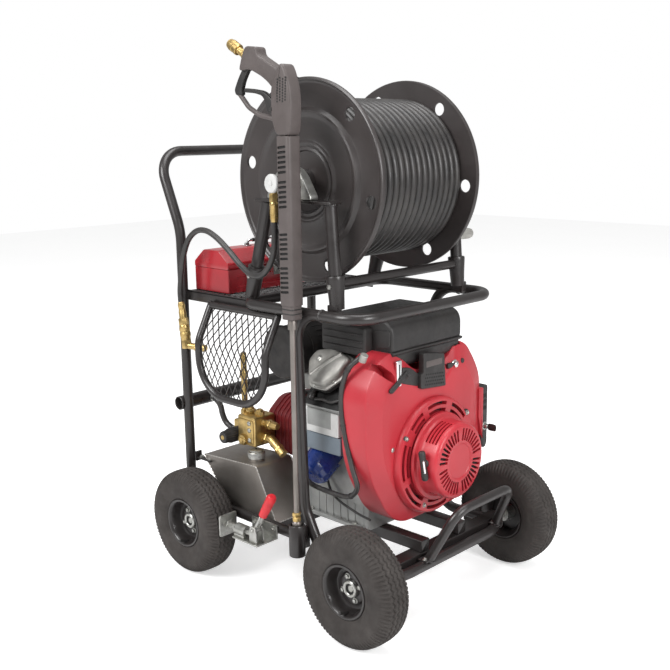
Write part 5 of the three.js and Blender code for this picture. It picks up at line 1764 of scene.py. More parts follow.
def manifold():
    crank_low = span("pump_crankcase")[0][0]
    back, front = crank_low - 26, crank_low + 40
    y0, y1 = -182, -112.3
    middle = (y0 - 6 + y1 + 0.3) / 2
    unloader_z = CRANK_Z - 20
    unloader_near = -150
    shape = Shape()
    block(shape, (back, y0, CRANK_Z - 35), (front, y1, CRANK_Z + 42), 4, 7, "y")
    block(shape, (back + 5, y0 - 3, CRANK_Z - 26), (front - 5, y0 + 4, CRANK_Z + 34), 2, 6, "y")
    block(
        shape, (back - 54, unloader_near, unloader_z - 20), (back + 4, y1 - 4, unloader_z + 32), 3.4, 6, "y"
    )
    hexagon(shape, (back + 24, y0 + 2, unloader_z), -Y, 15, 12)
    turn(shape, [(0, 0), (8, 0), (7, 3), (0, 4)], (back + 24, y0 - 9.8, unloader_z), -Y, 28)
    riser = (back - 30, y1 - 18, unloader_z + 20)
    turn(
        shape,
        [
            (0, 0), (11, 0), (11, 16), (8, 20), (8, 120), (10, 122), (10, 140), (8, 143), (8, 186),
            (6.4, 189), (0, 190),
        ],
        riser, Z, 40,
    )
    hexagon(shape, np.array(riser) + (0, 0, 22), Z, 11.4, 16)
    hexagon(shape, np.array(riser) + (0, 0, 124), Z, 11.4, 14)
    for share in (0.25, 0.75):
        x = back + share * (front - back)
        hexagon(shape, (x, middle, CRANK_Z + 40), Z, 13, 12)
        turn(shape, [(0, 0), (9, 0), (9, 3.4), (6, 5.6), (0, 6)], (x, middle, CRANK_Z + 52), Z, 30)
    for z in (CRANK_Z + 24,):
        turn(
            shape, [(0, 0), (11, 0), (11, 8), (9, 9), (9, 14), (10, 15), (10, 44), (8, 55), (0, 55)],
            (front - 5, middle, z), X, 40,
        )
        hexagon(shape, (front + 14, middle, z), X, 12.6, 14)
    elbow = bent(
        [
            (front - 6, middle, CRANK_Z - 14), (front + 26, middle, CRANK_Z - 14),
            (front + 70, middle, CRANK_Z - 44),
        ],
        24, 12,
    )
    sweep(shape, elbow, 11.4, 30)
    hexagon(shape, (front + 2, middle, CRANK_Z - 14), X, 13.6, 12)
    down = unit((44, 0, -30))
    hexagon(shape, np.array((front + 50, middle, CRANK_Z - 30.4)), down, 13.2, 11)
    for z in (CRANK_Z - 18, CRANK_Z + 8, CRANK_Z + 26):
        turn(shape, [(0, 0), (6, 0), (6, 2), (4, 3.4), (0, 3.4)], (back + 48, y0 - 2.6, z), -Y, 24, slot=1)
    gauge = (back - 8, unloader_near + 1, unloader_z + 18)
    hexagon(shape, gauge, -Y, 9, 9)
    piece("manifold_and_unloader", shape, finish("brass_metal", "zinc_plate"), "cart", ["pump_manifold"])
    low, high = span("unloader_knob")
    centre = core("unloader_knob")
    knob = Shape()
    rows = [
        (0, 0), (15, 0), (18.4, 2), (18.8, 6), (18.8, 40), (17, 44), (15.6, 50), (15.6, 58), (14, 61.6),
        (0, 62),
    ]
    turn(knob, rows, (centre[0], high[1], centre[2]), -Y, 120, flutes=20, depth=0.5)
    turn(
        knob, [(0, 0), (6, 0), (6, 0.4), (5, 0.6), (0, 0.4)], (centre[0], low[1] + 0.2, centre[2]), -Y, 30,
        slot=1,
    )
    piece(
        "pressure_knob_grip", knob, finish("moulded_black", "brass_metal"), "pressure_knob",
        ["unloader_knob"],
    )
    cross = core("rear_cross_tube")
    radius = (span("rear_cross_tube")[1][0] - span("rear_cross_tube")[0][0]) / 2
    points = [
        (cross[0] + radius + 0.4, unloader_near, cross[2]), (-352, unloader_near, 409),
        (-336, unloader_near + 2, 394),
        (-331, unloader_near + 5, 368), (-322, unloader_near + 8, 349),
        (back - 72, unloader_near + 10, unloader_z),
        (back - 54.3, unloader_near + 10, unloader_z),
    ]
    hose = Shape()
    path = evenly(spline(points, 160), 90)
    sweep(hose, path, 7.8, 24)
    for index in (4, 84):
        ahead = path[index + 1] - path[index]
        turn(
            hose, [(7.6, -5), (8.8, -5), (9.2, 0), (8.8, 5), (7.6, 5), (7.6, -5)], path[index], ahead, 32,
            slot=1,
        )
    piece("bypass_hose_tube", hose, finish("hose_rubber", "zinc_plate"), "cart", ["bypass_hose"], angle=60)


class WASHER_OT_pump(bpy.types.Operator):
    """Pump: painted crankcase, brass manifold with its unloader, knob and bypass hose"""

    bl_idname = "washer.pump"
    bl_label = "Pump"

    def execute(self, context):
        crankcase()
        manifold()
        return {"FINISHED"}


# ---------------------------------------------------------------- fuel tank


class WASHER_OT_tank(bpy.types.Operator):
    """Welded wedge of a fuel tank with a filler neck and cap"""

    bl_idname = "washer.tank"
    bl_label = "Fuel tank"

    def execute(self, context):
        low, high = span("fuel_tank")
        near, far = -215, -96
        back, top = -328, 286
        outline = counterclockwise(
            [(back, top - 8), (back + 92, 164), (back + 276, 158), (back + 206, top + 4)]
        )
        shape = Shape()
        rounded = softened(outline, 7)
        plate(shape, rounded, "y", near, far, 1.6)
        for y in (near + 0.6, far - 0.6):
            ring = np.column_stack((rounded[:, 0], np.full(len(rounded), y), rounded[:, 1]))
            around = evenly(np.concatenate((ring, ring[:1])), 400)
            bead = 1.5 + 0.35 * np.sin(np.arange(400) * 1.1)
            sweep(shape, around, bead, 8, slot=1)
        for corner in (outline[0], outline[2]):
            line = np.linspace((corner[0], near + 2, corner[1]), (corner[0], far - 2, corner[1]), 90)
            inward = unit(np.append(np.mean(outline, axis=0) - corner, 0)[[0, 2, 1]]) * 3.0
            sweep(shape, line + inward, 1.3 + 0.3 * np.sin(np.arange(90) * 1.1), 8, slot=1)
        cap = core("fuel_cap")
        place = (cap[0], cap[1], top - 8)
        turn(
            shape, [(0, 0), (19, 0), (19, 8), (20.4, 9), (20.4, 12), (19, 13), (19, 15.8), (0, 15.8)], place,
            Z, 48,
        )
        weld(shape, (cap[0], cap[1], top + 0.4), Z, 19, slot=1, bead=2)
        rod(shape, (-95, -190, 147.4), (-95, -190, 164), 10, 24)
        rod(shape, (-95, -128, 147.4), (-95, -128, 164), 10, 24)
        turn(shape, [(0, 0), (7, 0), (7, 4), (5, 8), (0, 8)], (back + 96, -150, 166), -Z, 24, slot=2)
        piece("tank_body", shape, finish("brushed_sheet", "weld_metal", "brass_metal"), "cart", ["fuel_tank"])
        bracket = Shape()
        block(bracket, (-355, -222, 262), (-296, -204, 266), 1, 0)
        block(bracket, (-356, -222, 254), (-351, -204, 280), 1, 0)
        bolt(bracket, (-306, -213, 265.6), Z, 5, 4, slot=1)
        bolt(bracket, (-340, -213, 265.6), Z, 5, 4, slot=1)
        piece("tank_bracket", bracket, finish("powder_coat", "zinc_plate"), "cart")
        low, high = span("fuel_cap")
        lid = Shape()
        rows = [(0, 0), (21, 0), (22, 1), (22, 15), (20.6, 17), (17, 18), (16.4, 21), (13, 23), (0, 23.6)]
        turn(lid, rows, (cap[0], cap[1], low[2]), Z, 144, flutes=36, depth=0.25)
        # A near-black dot at the cap's centre: painted shade of a small hole.
        turn(lid, [(0, 0), (3, 0), (2.4, 0.8), (0, 1)], (cap[0], cap[1], high[2] - 0.5), Z, 20, slot=1)
        piece("tank_cap_lid", lid, finish("zinc_plate", "painted_shade"), "tank_cap", ["fuel_cap"])
        return {"FINISHED"}


# ---------------------------------------------------------------- wheel brake


class WASHER_OT_brake(bpy.types.Operator):
    """Toggle clamp that pushes a pad against the rear wheel"""

    bl_idname = "washer.brake"
    bl_label = "Brake"

    def execute(self, context):
        y, z = core("brake_plunger")[1], 158.0
        pad = span("brake_plunger")[0][0]
        low, high = span("brake_base")
        shape = Shape()
        side = high[1]
        block(shape, (low[0], low[1], z - 20), (high[0], side, z - 16), 0.8, 3)
        block(shape, (low[0], side - 4, z - 20), (high[0], side, z + 16), 0.8, 0, "x")
        turn(
            shape, [(7.3, 0), (13, 0), (14, 1), (14, 35), (13, 36), (7.3, 36), (7.3, 0)], (low[0], y, z), X,
            40,
        )
        block(shape, (low[0], y - 12, z - 16), (low[0] + 36, y + 12, z - 9), 1, 0, "x")
        pivot = np.array((pad + 108, y, z + 16))
        for way in (-1, 1):
            y0, y1 = sorted((y + way * 9.2, y + way * 12.8))
            ear = [
                (pivot[0] - 12, z - 17), (pivot[0] + 14, z - 17), (pivot[0] + 13, z + 12),
                (pivot[0] + 8, pivot[2] + 10), (pivot[0] - 8, pivot[2] + 10), (pivot[0] - 12, z + 8),
            ]
            plate(shape, softened(ear, 6), "y", y0, y1, 0.8)
            bolt(shape, (pivot[0], y + way * 12.6, pivot[2]), (0, way, 0), 4.4, 2.6)
        for x in (low[0] + 10, high[0] - 12):
            bolt(shape, (x, side - 3.8, z + 4), -Y, 5, 3.6)
        for x in (low[0] + 50, high[0] - 8):
            turn(shape, [(0, 0), (5, 0), (5, 1.6), (0, 2)], (x, y - 14, z - 16.2), Z, 24)
        piece("brake_bracket", shape, finish("zinc_plate"), "cart", ["brake_base"])
        rod_shape = Shape()
        block(rod_shape, (pad, y - 27, z - 27), (pad + 5, y + 27, z + 27), 1.2, 5, "x")
        hexagon(rod_shape, (pad + 4.6, y, z), X, 12, 7)
        rod(rod_shape, (pad + 4, y, z), (pad + 92, y, z), 6.8, 32)
        for x in np.arange(pad + 13, pad + 34, 2.2):
            turn(rod_shape, [(6.6, 0), (7.1, 0.7), (6.6, 1.4), (6.6, 0)], (x, y, z), X, 32)
        piece("brake_rod_and_pad", rod_shape, finish("zinc_plate"), "brake_pad", ["brake_plunger"])
        along = unit((62, 0, 100))
        lever = Shape()
        rod(lever, pivot - (0, 8.4, 0), pivot + (0, 8.4, 0), 8, 28, slot=1)
        for way in (-1, 1):
            base = pivot + (0, way * 6, 0)
            rod(lever, base - along * 4, base + along * 46, 3.6, 18, slot=1)
        rod(lever, pivot + along * 30, pivot + along * 56, 6.4, 24, slot=1)
        grip = [
            (0, 48), (9, 48), (10.6, 50), (10.4, 60), (11.6, 66), (10.8, 72), (12, 78), (11, 84), (12.2, 90),
            (11.4, 97), (12.4, 104), (11.6, 112), (8, 116.6), (0, 117.6),
        ]
        turn(lever, grip, pivot, along, 36)
        piece(
            "brake_handle_grip", lever, finish("grip_rubber", "zinc_plate"), "brake_lever", ["brake_handle"]
        )
        return {"FINISHED"}


# ---------------------------------------------------------------- engine

SHROUD_FRONT = 258.0
SHROUD_BACK = span("fan_shroud")[0][0]
CYLINDER_X = 95.0
BLOCK_BACK = -30.0
BLOCK_BASE = 175.3
CLEANER_LOW, CLEANER_HIGH = span("air_cleaner")
MUFFLER = core("muffler")


def block_and_cylinders():
    """The crankcase, two finned cylinders at 45 degrees and their heads."""
    shape = Shape()
    outline = [
        (-128, BLOCK_BASE), (128, BLOCK_BASE), (128, 340), (112, 440), (60, 520), (-60, 520), (-112, 440),
        (-128, 340),
    ]
    rounded = counterclockwise(softened(outline, 20))
    plate(shape, rounded, "x", BLOCK_BACK, SHROUD_BACK - 0.3, 3)
    for x in (BLOCK_BACK + 2, SHROUD_BACK - 22):
        plate(shape, drawn_in(rounded, -1.6), "x", x, x + 10, 1.4)
    for x in np.arange(8, 150, 24):
        block(shape, (x, -129.8, BLOCK_BASE + 10), (x + 4, 129.8, 236), 1, 0, "z")
    block(shape, (BLOCK_BACK, -136, BLOCK_BASE), (150, 136, BLOCK_BASE + 10), 2, 6)
    for side in (-1, 1):
        for x in (-14, 132):
            bolt(shape, (x, side * 131, BLOCK_BASE + 10), Z, 6, 4, slot=1)
    block(shape, (MUFFLER[0] - 18, -60, 462), (BLOCK_BACK + 8, 60, 505), 4, 6)
    for side in (-1, 1):
        out = np.array((0, side, 1)) * math.sqrt(0.5)
        start = np.array((CYLINDER_X, 0, CRANK_Z + 20))
        barrel = softened(rectangle(-48, 48, -52, 52), 30)
        prism(shape, barrel, start + out * 70, out, 100, 2)
        fin = softened(rectangle(-59, 59, -65, 65), 14)
        for length in np.arange(104, 166, 9):
            prism(shape, fin, start + out * length, out, 3, 1)
        prism(shape, softened(rectangle(-60, 60, -66, 66), 14), start + out * 166, out, 8, 2)
        for length in np.arange(178, 200, 9):
            prism(shape, softened(rectangle(-63, 63, -69, 69), 14), start + out * length, out, 3, 1)
        prism(shape, softened(rectangle(-56, 56, -62, 62), 12), start + out * 172, out, 30, 2)
        prism(shape, softened(rectangle(-63, 63, -69, 69), 16), start + out * 202, out, 12, 2.4)
        # A thin near-black plate on each head: painted shade in the join.
        prism(shape, softened(rectangle(-61, 61, -67, 67), 16), start + out * 214, out, 3, 0.6, slot=2)
    silver = finish("silver_paint", "zinc_plate", "painted_shade", "cast_alloy")
    piece("block_and_cylinders", shape, silver, "cart", ["engine_block"])


def head_cover(side):
    """A domed cover whose height rises smoothly inside its rim, with a raised bar across it."""
    out, lift = np.array((0, side * 0.8, 0.6)), np.array((0, -side * 0.6, 0.8))
    middle = np.array((100, side * 178, 578.0)) - out * 26
    outline = counterclockwise(
        softened([(-82, 6), (-70, 37), (-13, 53), (50, 32), (40, -16), (4, -56), (-50, -54)], 12)
    )
    centre = outline.mean(axis=0)
    at = lambda u, v, height: middle + X * u + lift * v + out * height
    levels = [
        (0, 0), (0, 4), (0.02, 5.4), (0.07, 6), (0.09, 7), (0.11, 14), (0.13, 18), (0.17, 21), (0.23, 22.6),
        (0.6, 23.6),
    ]
    rings = []
    for share, height in levels:
        flat = centre + (outline - centre) * (1 - share)
        rings.append(middle + out * height + flat[:, :1] * X + flat[:, 1:] * lift)
    shape = Shape()
    shape.grid(np.stack(rings), wrap_columns=True)
    shape.cap(rings[0])
    shape.cap(rings[-1])
    bar = [at(-44, -30, 19), at(-14, 4, 20.6), at(18, 34, 19)]
    sweep(shape, spline(bar, 20), 7, 20)
    for u, v in ((-66, 6), (-30, 46), (32, 24), (18, -30), (-34, -50)):
        bolt(shape, at(u, v, 4.6), out, 4.6, 4, slot=1)
    turn(shape, [(0, 0), (8, 0), (8, 1.6), (6, 2.4), (5, 5), (0, 6)], at(-39.5, 11.8, 23), out, 32, slot=1)
    below = outline * 1.03
    rings = [middle + out * height + below[:, :1] * X + below[:, 1:] * lift for height in (-9, 0.4)]
    shape.grid(np.stack(rings), slot=2, wrap_columns=True)
    shape.cap(rings[0], slot=2)
    shape.cap(rings[-1], slot=2)
    names = finish("cast_alloy", "zinc_plate", "moulded_black")
    piece(f"head_cover_{'near' if side < 0 else 'far'}", shape, names, "cart", angle=34)


def engine_side():
    """The loom along the shroud, a plug lead with its boot, the wires beside the near cylinder, a plain side
    plate and the side cover.
    """
    shape = Shape()
    loom = [
        (-12, -150, 330), (14, -188, 312), (55, -205, 293), (124, -207, 286), (190, -208, 292),
        (214, -209, 318), (202, -212, 363), (182, -214, 437), (173, -214.5, 498), (174, -212, 544),
        (189, -206, 589), (213, -190, 617),
    ]
    path = evenly(spline(loom, 200), 120)
    sweep(shape, path, 6 + 0.25 * np.sin(np.arange(120) * 1.7), 16)
    for index in (14, 48, 84, 110):
        turn(
            shape, [(5.8, -2), (7, -2), (7, 2), (5.8, 2), (5.8, -2)], path[index],
            path[index + 1] - path[index], 24, slot=1,
        )
    lead = [(150, -190, 508), (124, -198, 498), (96, -198, 500), (60, -190, 494), (20, -160, 500)]
    sweep(shape, evenly(spline(lead, 80), 50), 3.6, 14)
    plug = np.array((58, -198, 494))
    turn(shape, [(0, 0), (8, 0), (9, 3), (9, 12), (6.4, 16), (5, 30), (0, 31)], plug, (0, 0.7, 0.7), 28)
    for wire in (
        [(40, -134, 300), (70, -142, 250), (140, -140, 222), (190, -140, 214)],
        [(20, -134, 410), (60, -136, 404), (150, -138, 392)],
    ):
        sweep(shape, evenly(spline(wire, 60), 40), 3, 12)
    piece("loom_and_leads", shape, finish("hose_rubber", "moulded_black"), "cart", angle=60)
    shape = Shape()
    plate(shape, softened(rectangle(-31, 80, 394, 466), 4), "y", -129.6, -127.4, 0.4)
    # Two thin near-black strips: painted shade in grooves across the plate.
    plate(shape, softened(rectangle(-24, 73, 400, 404), 1), "y", -130.0, -129.4, 0.1, slot=1)
    plate(shape, softened(rectangle(-24, 73, 456, 460), 1), "y", -130.0, -129.4, 0.1, slot=1)
    block(shape, (-24, -132, 372), (150, -126, 384), 1.4, 3, "y", slot=2)
    rod(shape, (214, -190, 606), (222, -190, 622), 9, 28, slot=2)
    piece("plain_side_plate", shape, finish("silver_paint", "painted_shade", "cast_alloy"), "cart")
    shape = Shape()
    block(shape, (25, -187, 411), (136, -140, 490), 2.4, 6, "y")
    block(shape, (20, -185, 368), (140, -136, 410), 2.4, 6, "y", slot=1)
    block(shape, (36, -187.8, 428), (112, -186.6, 470), 0.4, 2, "y", slot=2)
    piece("side_cover", shape, finish("pale_cover", "blue_grey_paint", "silver_paint"), "cart")


def oil_filter():
    """A can that leans down and outwards; its sides turn into fourteen flats towards the free end."""
    place = np.array((50.0, -134, 345))
    lean = math.radians(35)
    ahead = np.array((0, -math.cos(lean), -math.sin(lean)))
    across, lift, _ = basis(ahead)
    rows = np.array(
        [
            (0, -20), (40, -20), (41, -18), (41, 34), (40.8, 40), (40.2, 52), (38.6, 60), (35, 67), (30, 71),
            (24, 72), (0, 72),
        ],
        float,
    )
    angle = ring_angles(168)[:, None]
    flat = np.cos(np.pi / 14) / np.cos((angle % (2 * np.pi / 14)) - np.pi / 14)
    share = np.clip((rows[:, 1] - 32) / 6, 0, 1)[None]
    radius = (rows[:, 0][None] * (1 - share * (1 - flat)))[..., None]
    angle = angle[..., None]
    points = place + radius * (
        np.cos(angle) * across + np.sin(angle) * lift
    ) + rows[:, 1][None, :, None] * ahead
    shape = Shape()
    shape.grid(points, wrap_rows=True)
    turn(shape, [(40.6, 0), (42, 1.2), (42, 3.4), (40.6, 4.6), (40.6, 0)], place - ahead * 6, ahead, 72)
    turn(shape, [(0, 0), (43, 0), (44, 1), (44, 9), (43, 10), (0, 10)], place - ahead * 26, ahead, 72, slot=1)
    block(shape, (10, -146, 322), (90, -126, 404), 3, 10, "y", slot=1)
    piece("oil_filter_can", shape, finish("filter_paint", "silver_paint"), "cart", ["oil_filter"], angle=20)


SHROUD = [
    (-212, 392), (-214, 520), (-205, 556), (-168, 606), (-120, 622), (-40, 560), (60, 560), (110, 610),
    (150, 596),
    (188, 545), (208, 505), (208, 330), (166, 232), (120, 206), (-90, 206), (-140, 240), (-192, 330),
]


def ring_slots(cutter, radius, width, start, end, low, high):
    plate(cutter, arc_slot((0, CRANK_Z), radius, width, start, end), "x", low, high)


def fan_shroud():
    """The red cover: a flat bevel runs round its rim, a raised ring of slots round the starter."""
    shape = Shape()
    outline = counterclockwise(softened(SHROUD, 30))
    levels = [(0, SHROUD_BACK), (0, SHROUD_FRONT - 18)]
    levels += [
        (0.6, SHROUD_FRONT - 15.4), (2.4, SHROUD_FRONT - 13.8), (34, SHROUD_FRONT - 1.2),
        (36.4, SHROUD_FRONT),
    ]
    rings = []
    centre = np.array((0, 400.0))
    for inset, x in levels:
        flat = centre + (outline - centre) * (1 - inset / 190)
        rings.append(np.column_stack((np.full(len(flat), x), flat)))
    for share in (0.78, 0.74, 0.7):
        flat = centre + (outline - centre) * share
        rings.append(
            np.column_stack(
                (
                    np.full(
                        len(flat), SHROUD_FRONT + (0.4 if share > 0.75 else 1.6 if share > 0.72 else 2.0)
                    ),
                    flat,
                )
            )
        )
    shape.grid(np.stack(rings), wrap_columns=True)
    shape.cap(rings[0])
    shape.cap(rings[-1])
    made = piece(
        "shroud_shell", shape, finish("moulded_red", "painted_shade"), "cart", ["fan_shroud"], angle=18
    )
    cuts = Shape()
    recess = [(-192, 594), (-166, 600), (-134, 574), (-128, 548), (-150, 562)]
    plate(cuts, softened(recess, 8), "x", SHROUD_FRONT - 34, SHROUD_FRONT + 30)
    lower = [
        (CLEANER_LOW[1] - 1, 596), (CLEANER_HIGH[1] + 1, 596), (CLEANER_HIGH[1] + 1, 700),
        (CLEANER_LOW[1] - 1, 700),
    ]
    plate(cuts, lower, "x", SHROUD_BACK - 10, SHROUD_FRONT - 12)
    carve(made, cuts, 18)
    ring = Shape()
    face = [(70, 4), (139, 4), (139, 10), (137, 18), (133, 22), (100, 22), (98, 20), (70, 20), (70, 4)]
    turn(ring, face, (SHROUD_FRONT - 4, 0, CRANK_Z), X, 160)
    grille = piece("fan_ring", ring, finish("moulded_red", "painted_shade"), "cart", angle=34)
    cuts = Shape()
    spans = [
        (0.60, 1.12), (1.30, 1.86), (2.02, 2.42), (2.72, 3.42), (3.56, 4.20), (4.40, 5.0), (5.16, 5.8),
        (5.95, 6.25),
    ]
    for start, end in spans:
        for radius in (108, 124):
            ring_slots(cuts, radius, 8.4, start, end, SHROUD_FRONT - 8, SHROUD_FRONT + 30)
    carve(grille, cuts, 34)
    # A near-black ring behind the slots: painted shade seen through them.
    dark = Shape()
    turn(dark, [(72, 0), (134, 0), (134, 3), (72, 3), (72, 0)], (SHROUD_FRONT + 1.4, 0, CRANK_Z), X, 96)
    piece("fan_slot_shade", dark, finish("painted_shade"), "cart")
    details = Shape()
    for y, z in ((-111, 422), (-49, 433), (114, 435), (-48, 247)):
        turn(details, [(0, 0), (8.4, 0), (8.4, 5), (7, 6.4), (0, 6.4)], (SHROUD_FRONT + 11, y, z), X, 28)
        bolt(details, (SHROUD_FRONT + 17, y, z), X, 4.4, 3, slot=1)
    bolt(details, (SHROUD_FRONT - 3, -140, 400), X, 6.4, 4, slot=1)
    piece("shroud_bolts", details, finish("moulded_black", "zinc_plate"), "cart")


def recoil():
    """The starter's cover: a ring of radial slots round a plain disc, and slots along its side."""
    low, high = span("recoil_cover")
    depth = high[0] - low[0]
    shape = Shape()
    profile = [
        (0, 0), (102, 0), (104, 1.4), (104, 5), (102, 8), (94, 10), (91, 14), (90, 20), (89.4, depth - 12),
        (88, depth - 5),
        (84.6, depth - 1.4), (80, depth), (44, depth), (42, depth - 0.8), (40, depth - 2.6), (0, depth - 3),
    ]
    turn(shape, profile, (low[0], 0, CRANK_Z), X, 160)
    made = piece("recoil_shell", shape, finish("moulded_red"), "cart", ["recoil_cover"], angle=34)
    cuts = Shape()
    count = sizes().cooling_slots
    for angle in ring_angles(count):
        if abs((angle / (2 * np.pi) * count) % 10) < 0.01:
            continue
        centre = np.array((np.cos(angle), np.sin(angle)))
        plate(cuts, slot_outline(centre * 63, 30, 6.0, angle) + (0, CRANK_Z), "x", high[0] - 9, high[0] + 6)
    for start, end in ((1.7, 2.5), (4.0, 4.7)):
        for step in range(4):
            x = low[0] + 17 + step * 9
            ring = np.concatenate((arc(96, start, end, 20), arc(84, end, start, 20))) + (0, CRANK_Z)
            plate(cuts, ring, "x", x, x + 4.4)
    carve(made, cuts, 34)
    # A near-black disc behind the face slots and a near-black wall behind the side slots: painted shade seen
    # through them.
    dark = Shape()
    turn(dark, [(0, 0), (83, 0), (83, 2), (0, 2)], (high[0] - 8.6, 0, CRANK_Z), X, 72)
    turn(
        dark, [(83.6, 0), (84, 0), (84, depth - 20), (83.6, depth - 20), (83.6, 0)],
        (low[0] + 12, 0, CRANK_Z), X, 96,
    )
    piece("recoil_slot_shade", dark, finish("painted_shade"), "cart")
    eye = Shape()
    place = core("pull_handle")
    turn(eye, [(0, 0), (9, 0), (9, 3), (6, 7), (0, 7)], (place[0] - 2, -88, place[2] + 3), -Y, 28)
    piece("rope_eye", eye, finish("moulded_black"), "cart")
    handle = Shape()
    tilt = unit((0.1, 0.08, -1))
    start = place - tilt * 34
    profile = [(0, 0), (6, 0), (8, 3), (8, 12), (7.2, 24), (7.2, 44), (8, 56), (8, 64), (6, 68), (0, 68)]
    turn(handle, profile, start, tilt, 36)
    inlay = place + np.array((5.6, -4.4, 0)) - tilt * 14
    rod(handle, inlay, inlay + tilt * 30, 2.6, 20, slot=1, rim=1.2)
    piece(
        "pull_handle_grip", handle, finish("moulded_black", "chrome_plate"), "starter_handle",
        ["pull_handle"],
    )


def air_cleaner():
    low, high = CLEANER_LOW, CLEANER_HIGH
    top = high[2]
    shape = Shape()
    lid = [
        (46, 612), (234, 606), (247, 618), (247, top - 27), (240, top - 10), (222, top), (54, top),
        (46, top - 10),
    ]
    plate(shape, softened(lid, 9), "y", low[1], high[1] + 3, 6, steps=6)
    tray = [(50, 596), (228, 575), (241, 585), (244, 611), (50, 611)]
    plate(shape, softened(tray, 6), "y", low[1] + 3, high[1], 4)
    plate(
        shape, softened([(44, 611.6), (236, 605.6), (250, 613), (250, 618), (44, 618)], 3), "y", low[1] - 1.6,
        high[1] + 4.6, 1.4,
    )
    side = [(196, top - 24), (242, top - 20), (240, 628), (206, 622), (194, 632)]
    plate(shape, softened(side, 8), "y", low[1] - 3.4, low[1] + 3, 1.6)
    block(shape, (52, low[1] - 26, 604), (188, low[1] + 4, 668), 4, 8, "y")
    for height in (618, 634, 650):
        block(shape, (60, low[1] - 28, height), (180, low[1] - 22, height + 5), 1, 0, "y")
    piece("air_cleaner_box", shape, finish("moulded_black"), "cart", ["air_cleaner"], angle=32)
    front = Shape()
    face = 262
    plate_outline = [(-45, 607), (31, 595), (38, 516), (-54, 525), (-54, 559), (-44, 560)]
    plate(front, softened(plate_outline, 6), "x", face - 8, face + 8, 1.4)
    # Near-black diamonds on the plate: painted shade of the grille's holes.
    for row in range(4):
        for column in range(11):
            y = -38 + column * 6.6 + (3.3 if row % 2 else 0)
            if y < 30:
                plate(
                    front, polygon(2.7, 4, 0) + (y, 532 + row * 8 - 0.1 * (y + 38)), "x", face + 7,
                    face + 8.3, 0.1, slot=1,
                )
    block(front, (face + 6, -36, 572), (face + 8.6, 22, 586), 0.6, 2, "x", slot=2)
    bolt(front, (face - 5, 86, 557), X, 8, 6, slot=3)
    block(front, (face - 10, 60, 550), (face - 3, 100, 562), 1.4, 2, "x")
    clip = [(-128, 602), (-111, 602), (-112, 543), (-126, 543)]
    plate(front, softened(clip, 4), "x", face - 6, face - 0.6, 1, slot=3)
    # A near-black slot on the clip: painted shade of its slot.
    plate(front, slot_outline((-119, 576), 34, 3.4, np.pi / 2), "x", face - 1, face - 0.3, 0.1, slot=1)
    bracket = [(-112, 548), (-52, 530), (-48, 556), (-78, 578), (-108, 584)]
    plate(front, softened(bracket, 8), "x", face - 12, face - 0.6, 1.6)
    rod(front, (face - 14, 116, 560), (face - 2, 116, 560), 6, 22)
    names = finish("moulded_black", "painted_shade", "moulded_grey", "chrome_plate")
    piece("front_plate_and_clips", front, names, "cart")


class WASHER_OT_engine(bpy.types.Operator):
    """Engine block, cylinders, covers, fan shroud, starter, filter and air cleaner"""

    bl_idname = "washer.engine"
    bl_label = "Engine"

    def execute(self, context):
        block_and_cylinders()
        head_cover(-1)
        head_cover(1)
        engine_side()
        oil_filter()
        fan_shroud()
        recoil()
        air_cleaner()
        return {"FINISHED"}


class WASHER_OT_muffler(bpy.types.Operator):
    """Muffler with end seams, straps, two inlet pipes and an outlet"""

    bl_idname = "washer.muffler"
    bl_label = "Muffler"

    def execute(self, context):
        low, high = span("muffler")
        x, _, z = MUFFLER
        R = (high[2] - low[2]) / 2
        length = high[1] - low[1]
        shape = Shape()
        rows = [
            (0, 3), (R - 14, 3), (R - 9, 0), (R - 3, 0), (R, 3), (R, 9), (R - 3, 12), (R - 3.4, length - 12),
            (R, length - 9), (R, length - 3), (R - 3, length), (R - 9, length), (R - 14, length - 3),
            (0, length - 3),
        ]
        turn(shape, rows, (x, low[1], z), Y, 96)
        for y in (low[1] + 60, high[1] - 60):
            turn(shape, [(R - 4, -9), (R - 1.4, -9), (R - 1.4, 9), (R - 4, 9), (R - 4, -9)], (x, y, z), Y, 96)
        for side in (-1, 1):
            path = bent(
                [(x + 20, side * 60, z - 40), (x + 60, side * 80, z - 46), (40, side * 118, z - 50)], 30, 10
            )
            sweep(shape, path, 15, 28)
        turn(
            shape, [(0, 0), (13, 0), (13, 26), (11.6, 27), (11, 20), (0, 20)], (x - R + 12, 120, z - 20),
            (-1, 0, -0.3), 36,
        )
        for angle in np.linspace(0.6, 2.6, 9):
            centre = (x + (R - 3) * np.cos(angle), 20, z + (R - 3) * np.sin(angle))
            sweep(
                shape, np.array(((centre[0], low[1] + 80, centre[2]), (centre[0], high[1] - 80, centre[2]))),
                2.4, 12,
            )
        piece("muffler_can", shape, finish("heat_black"), "cart", ["muffler"])
        return {"FINISHED"}


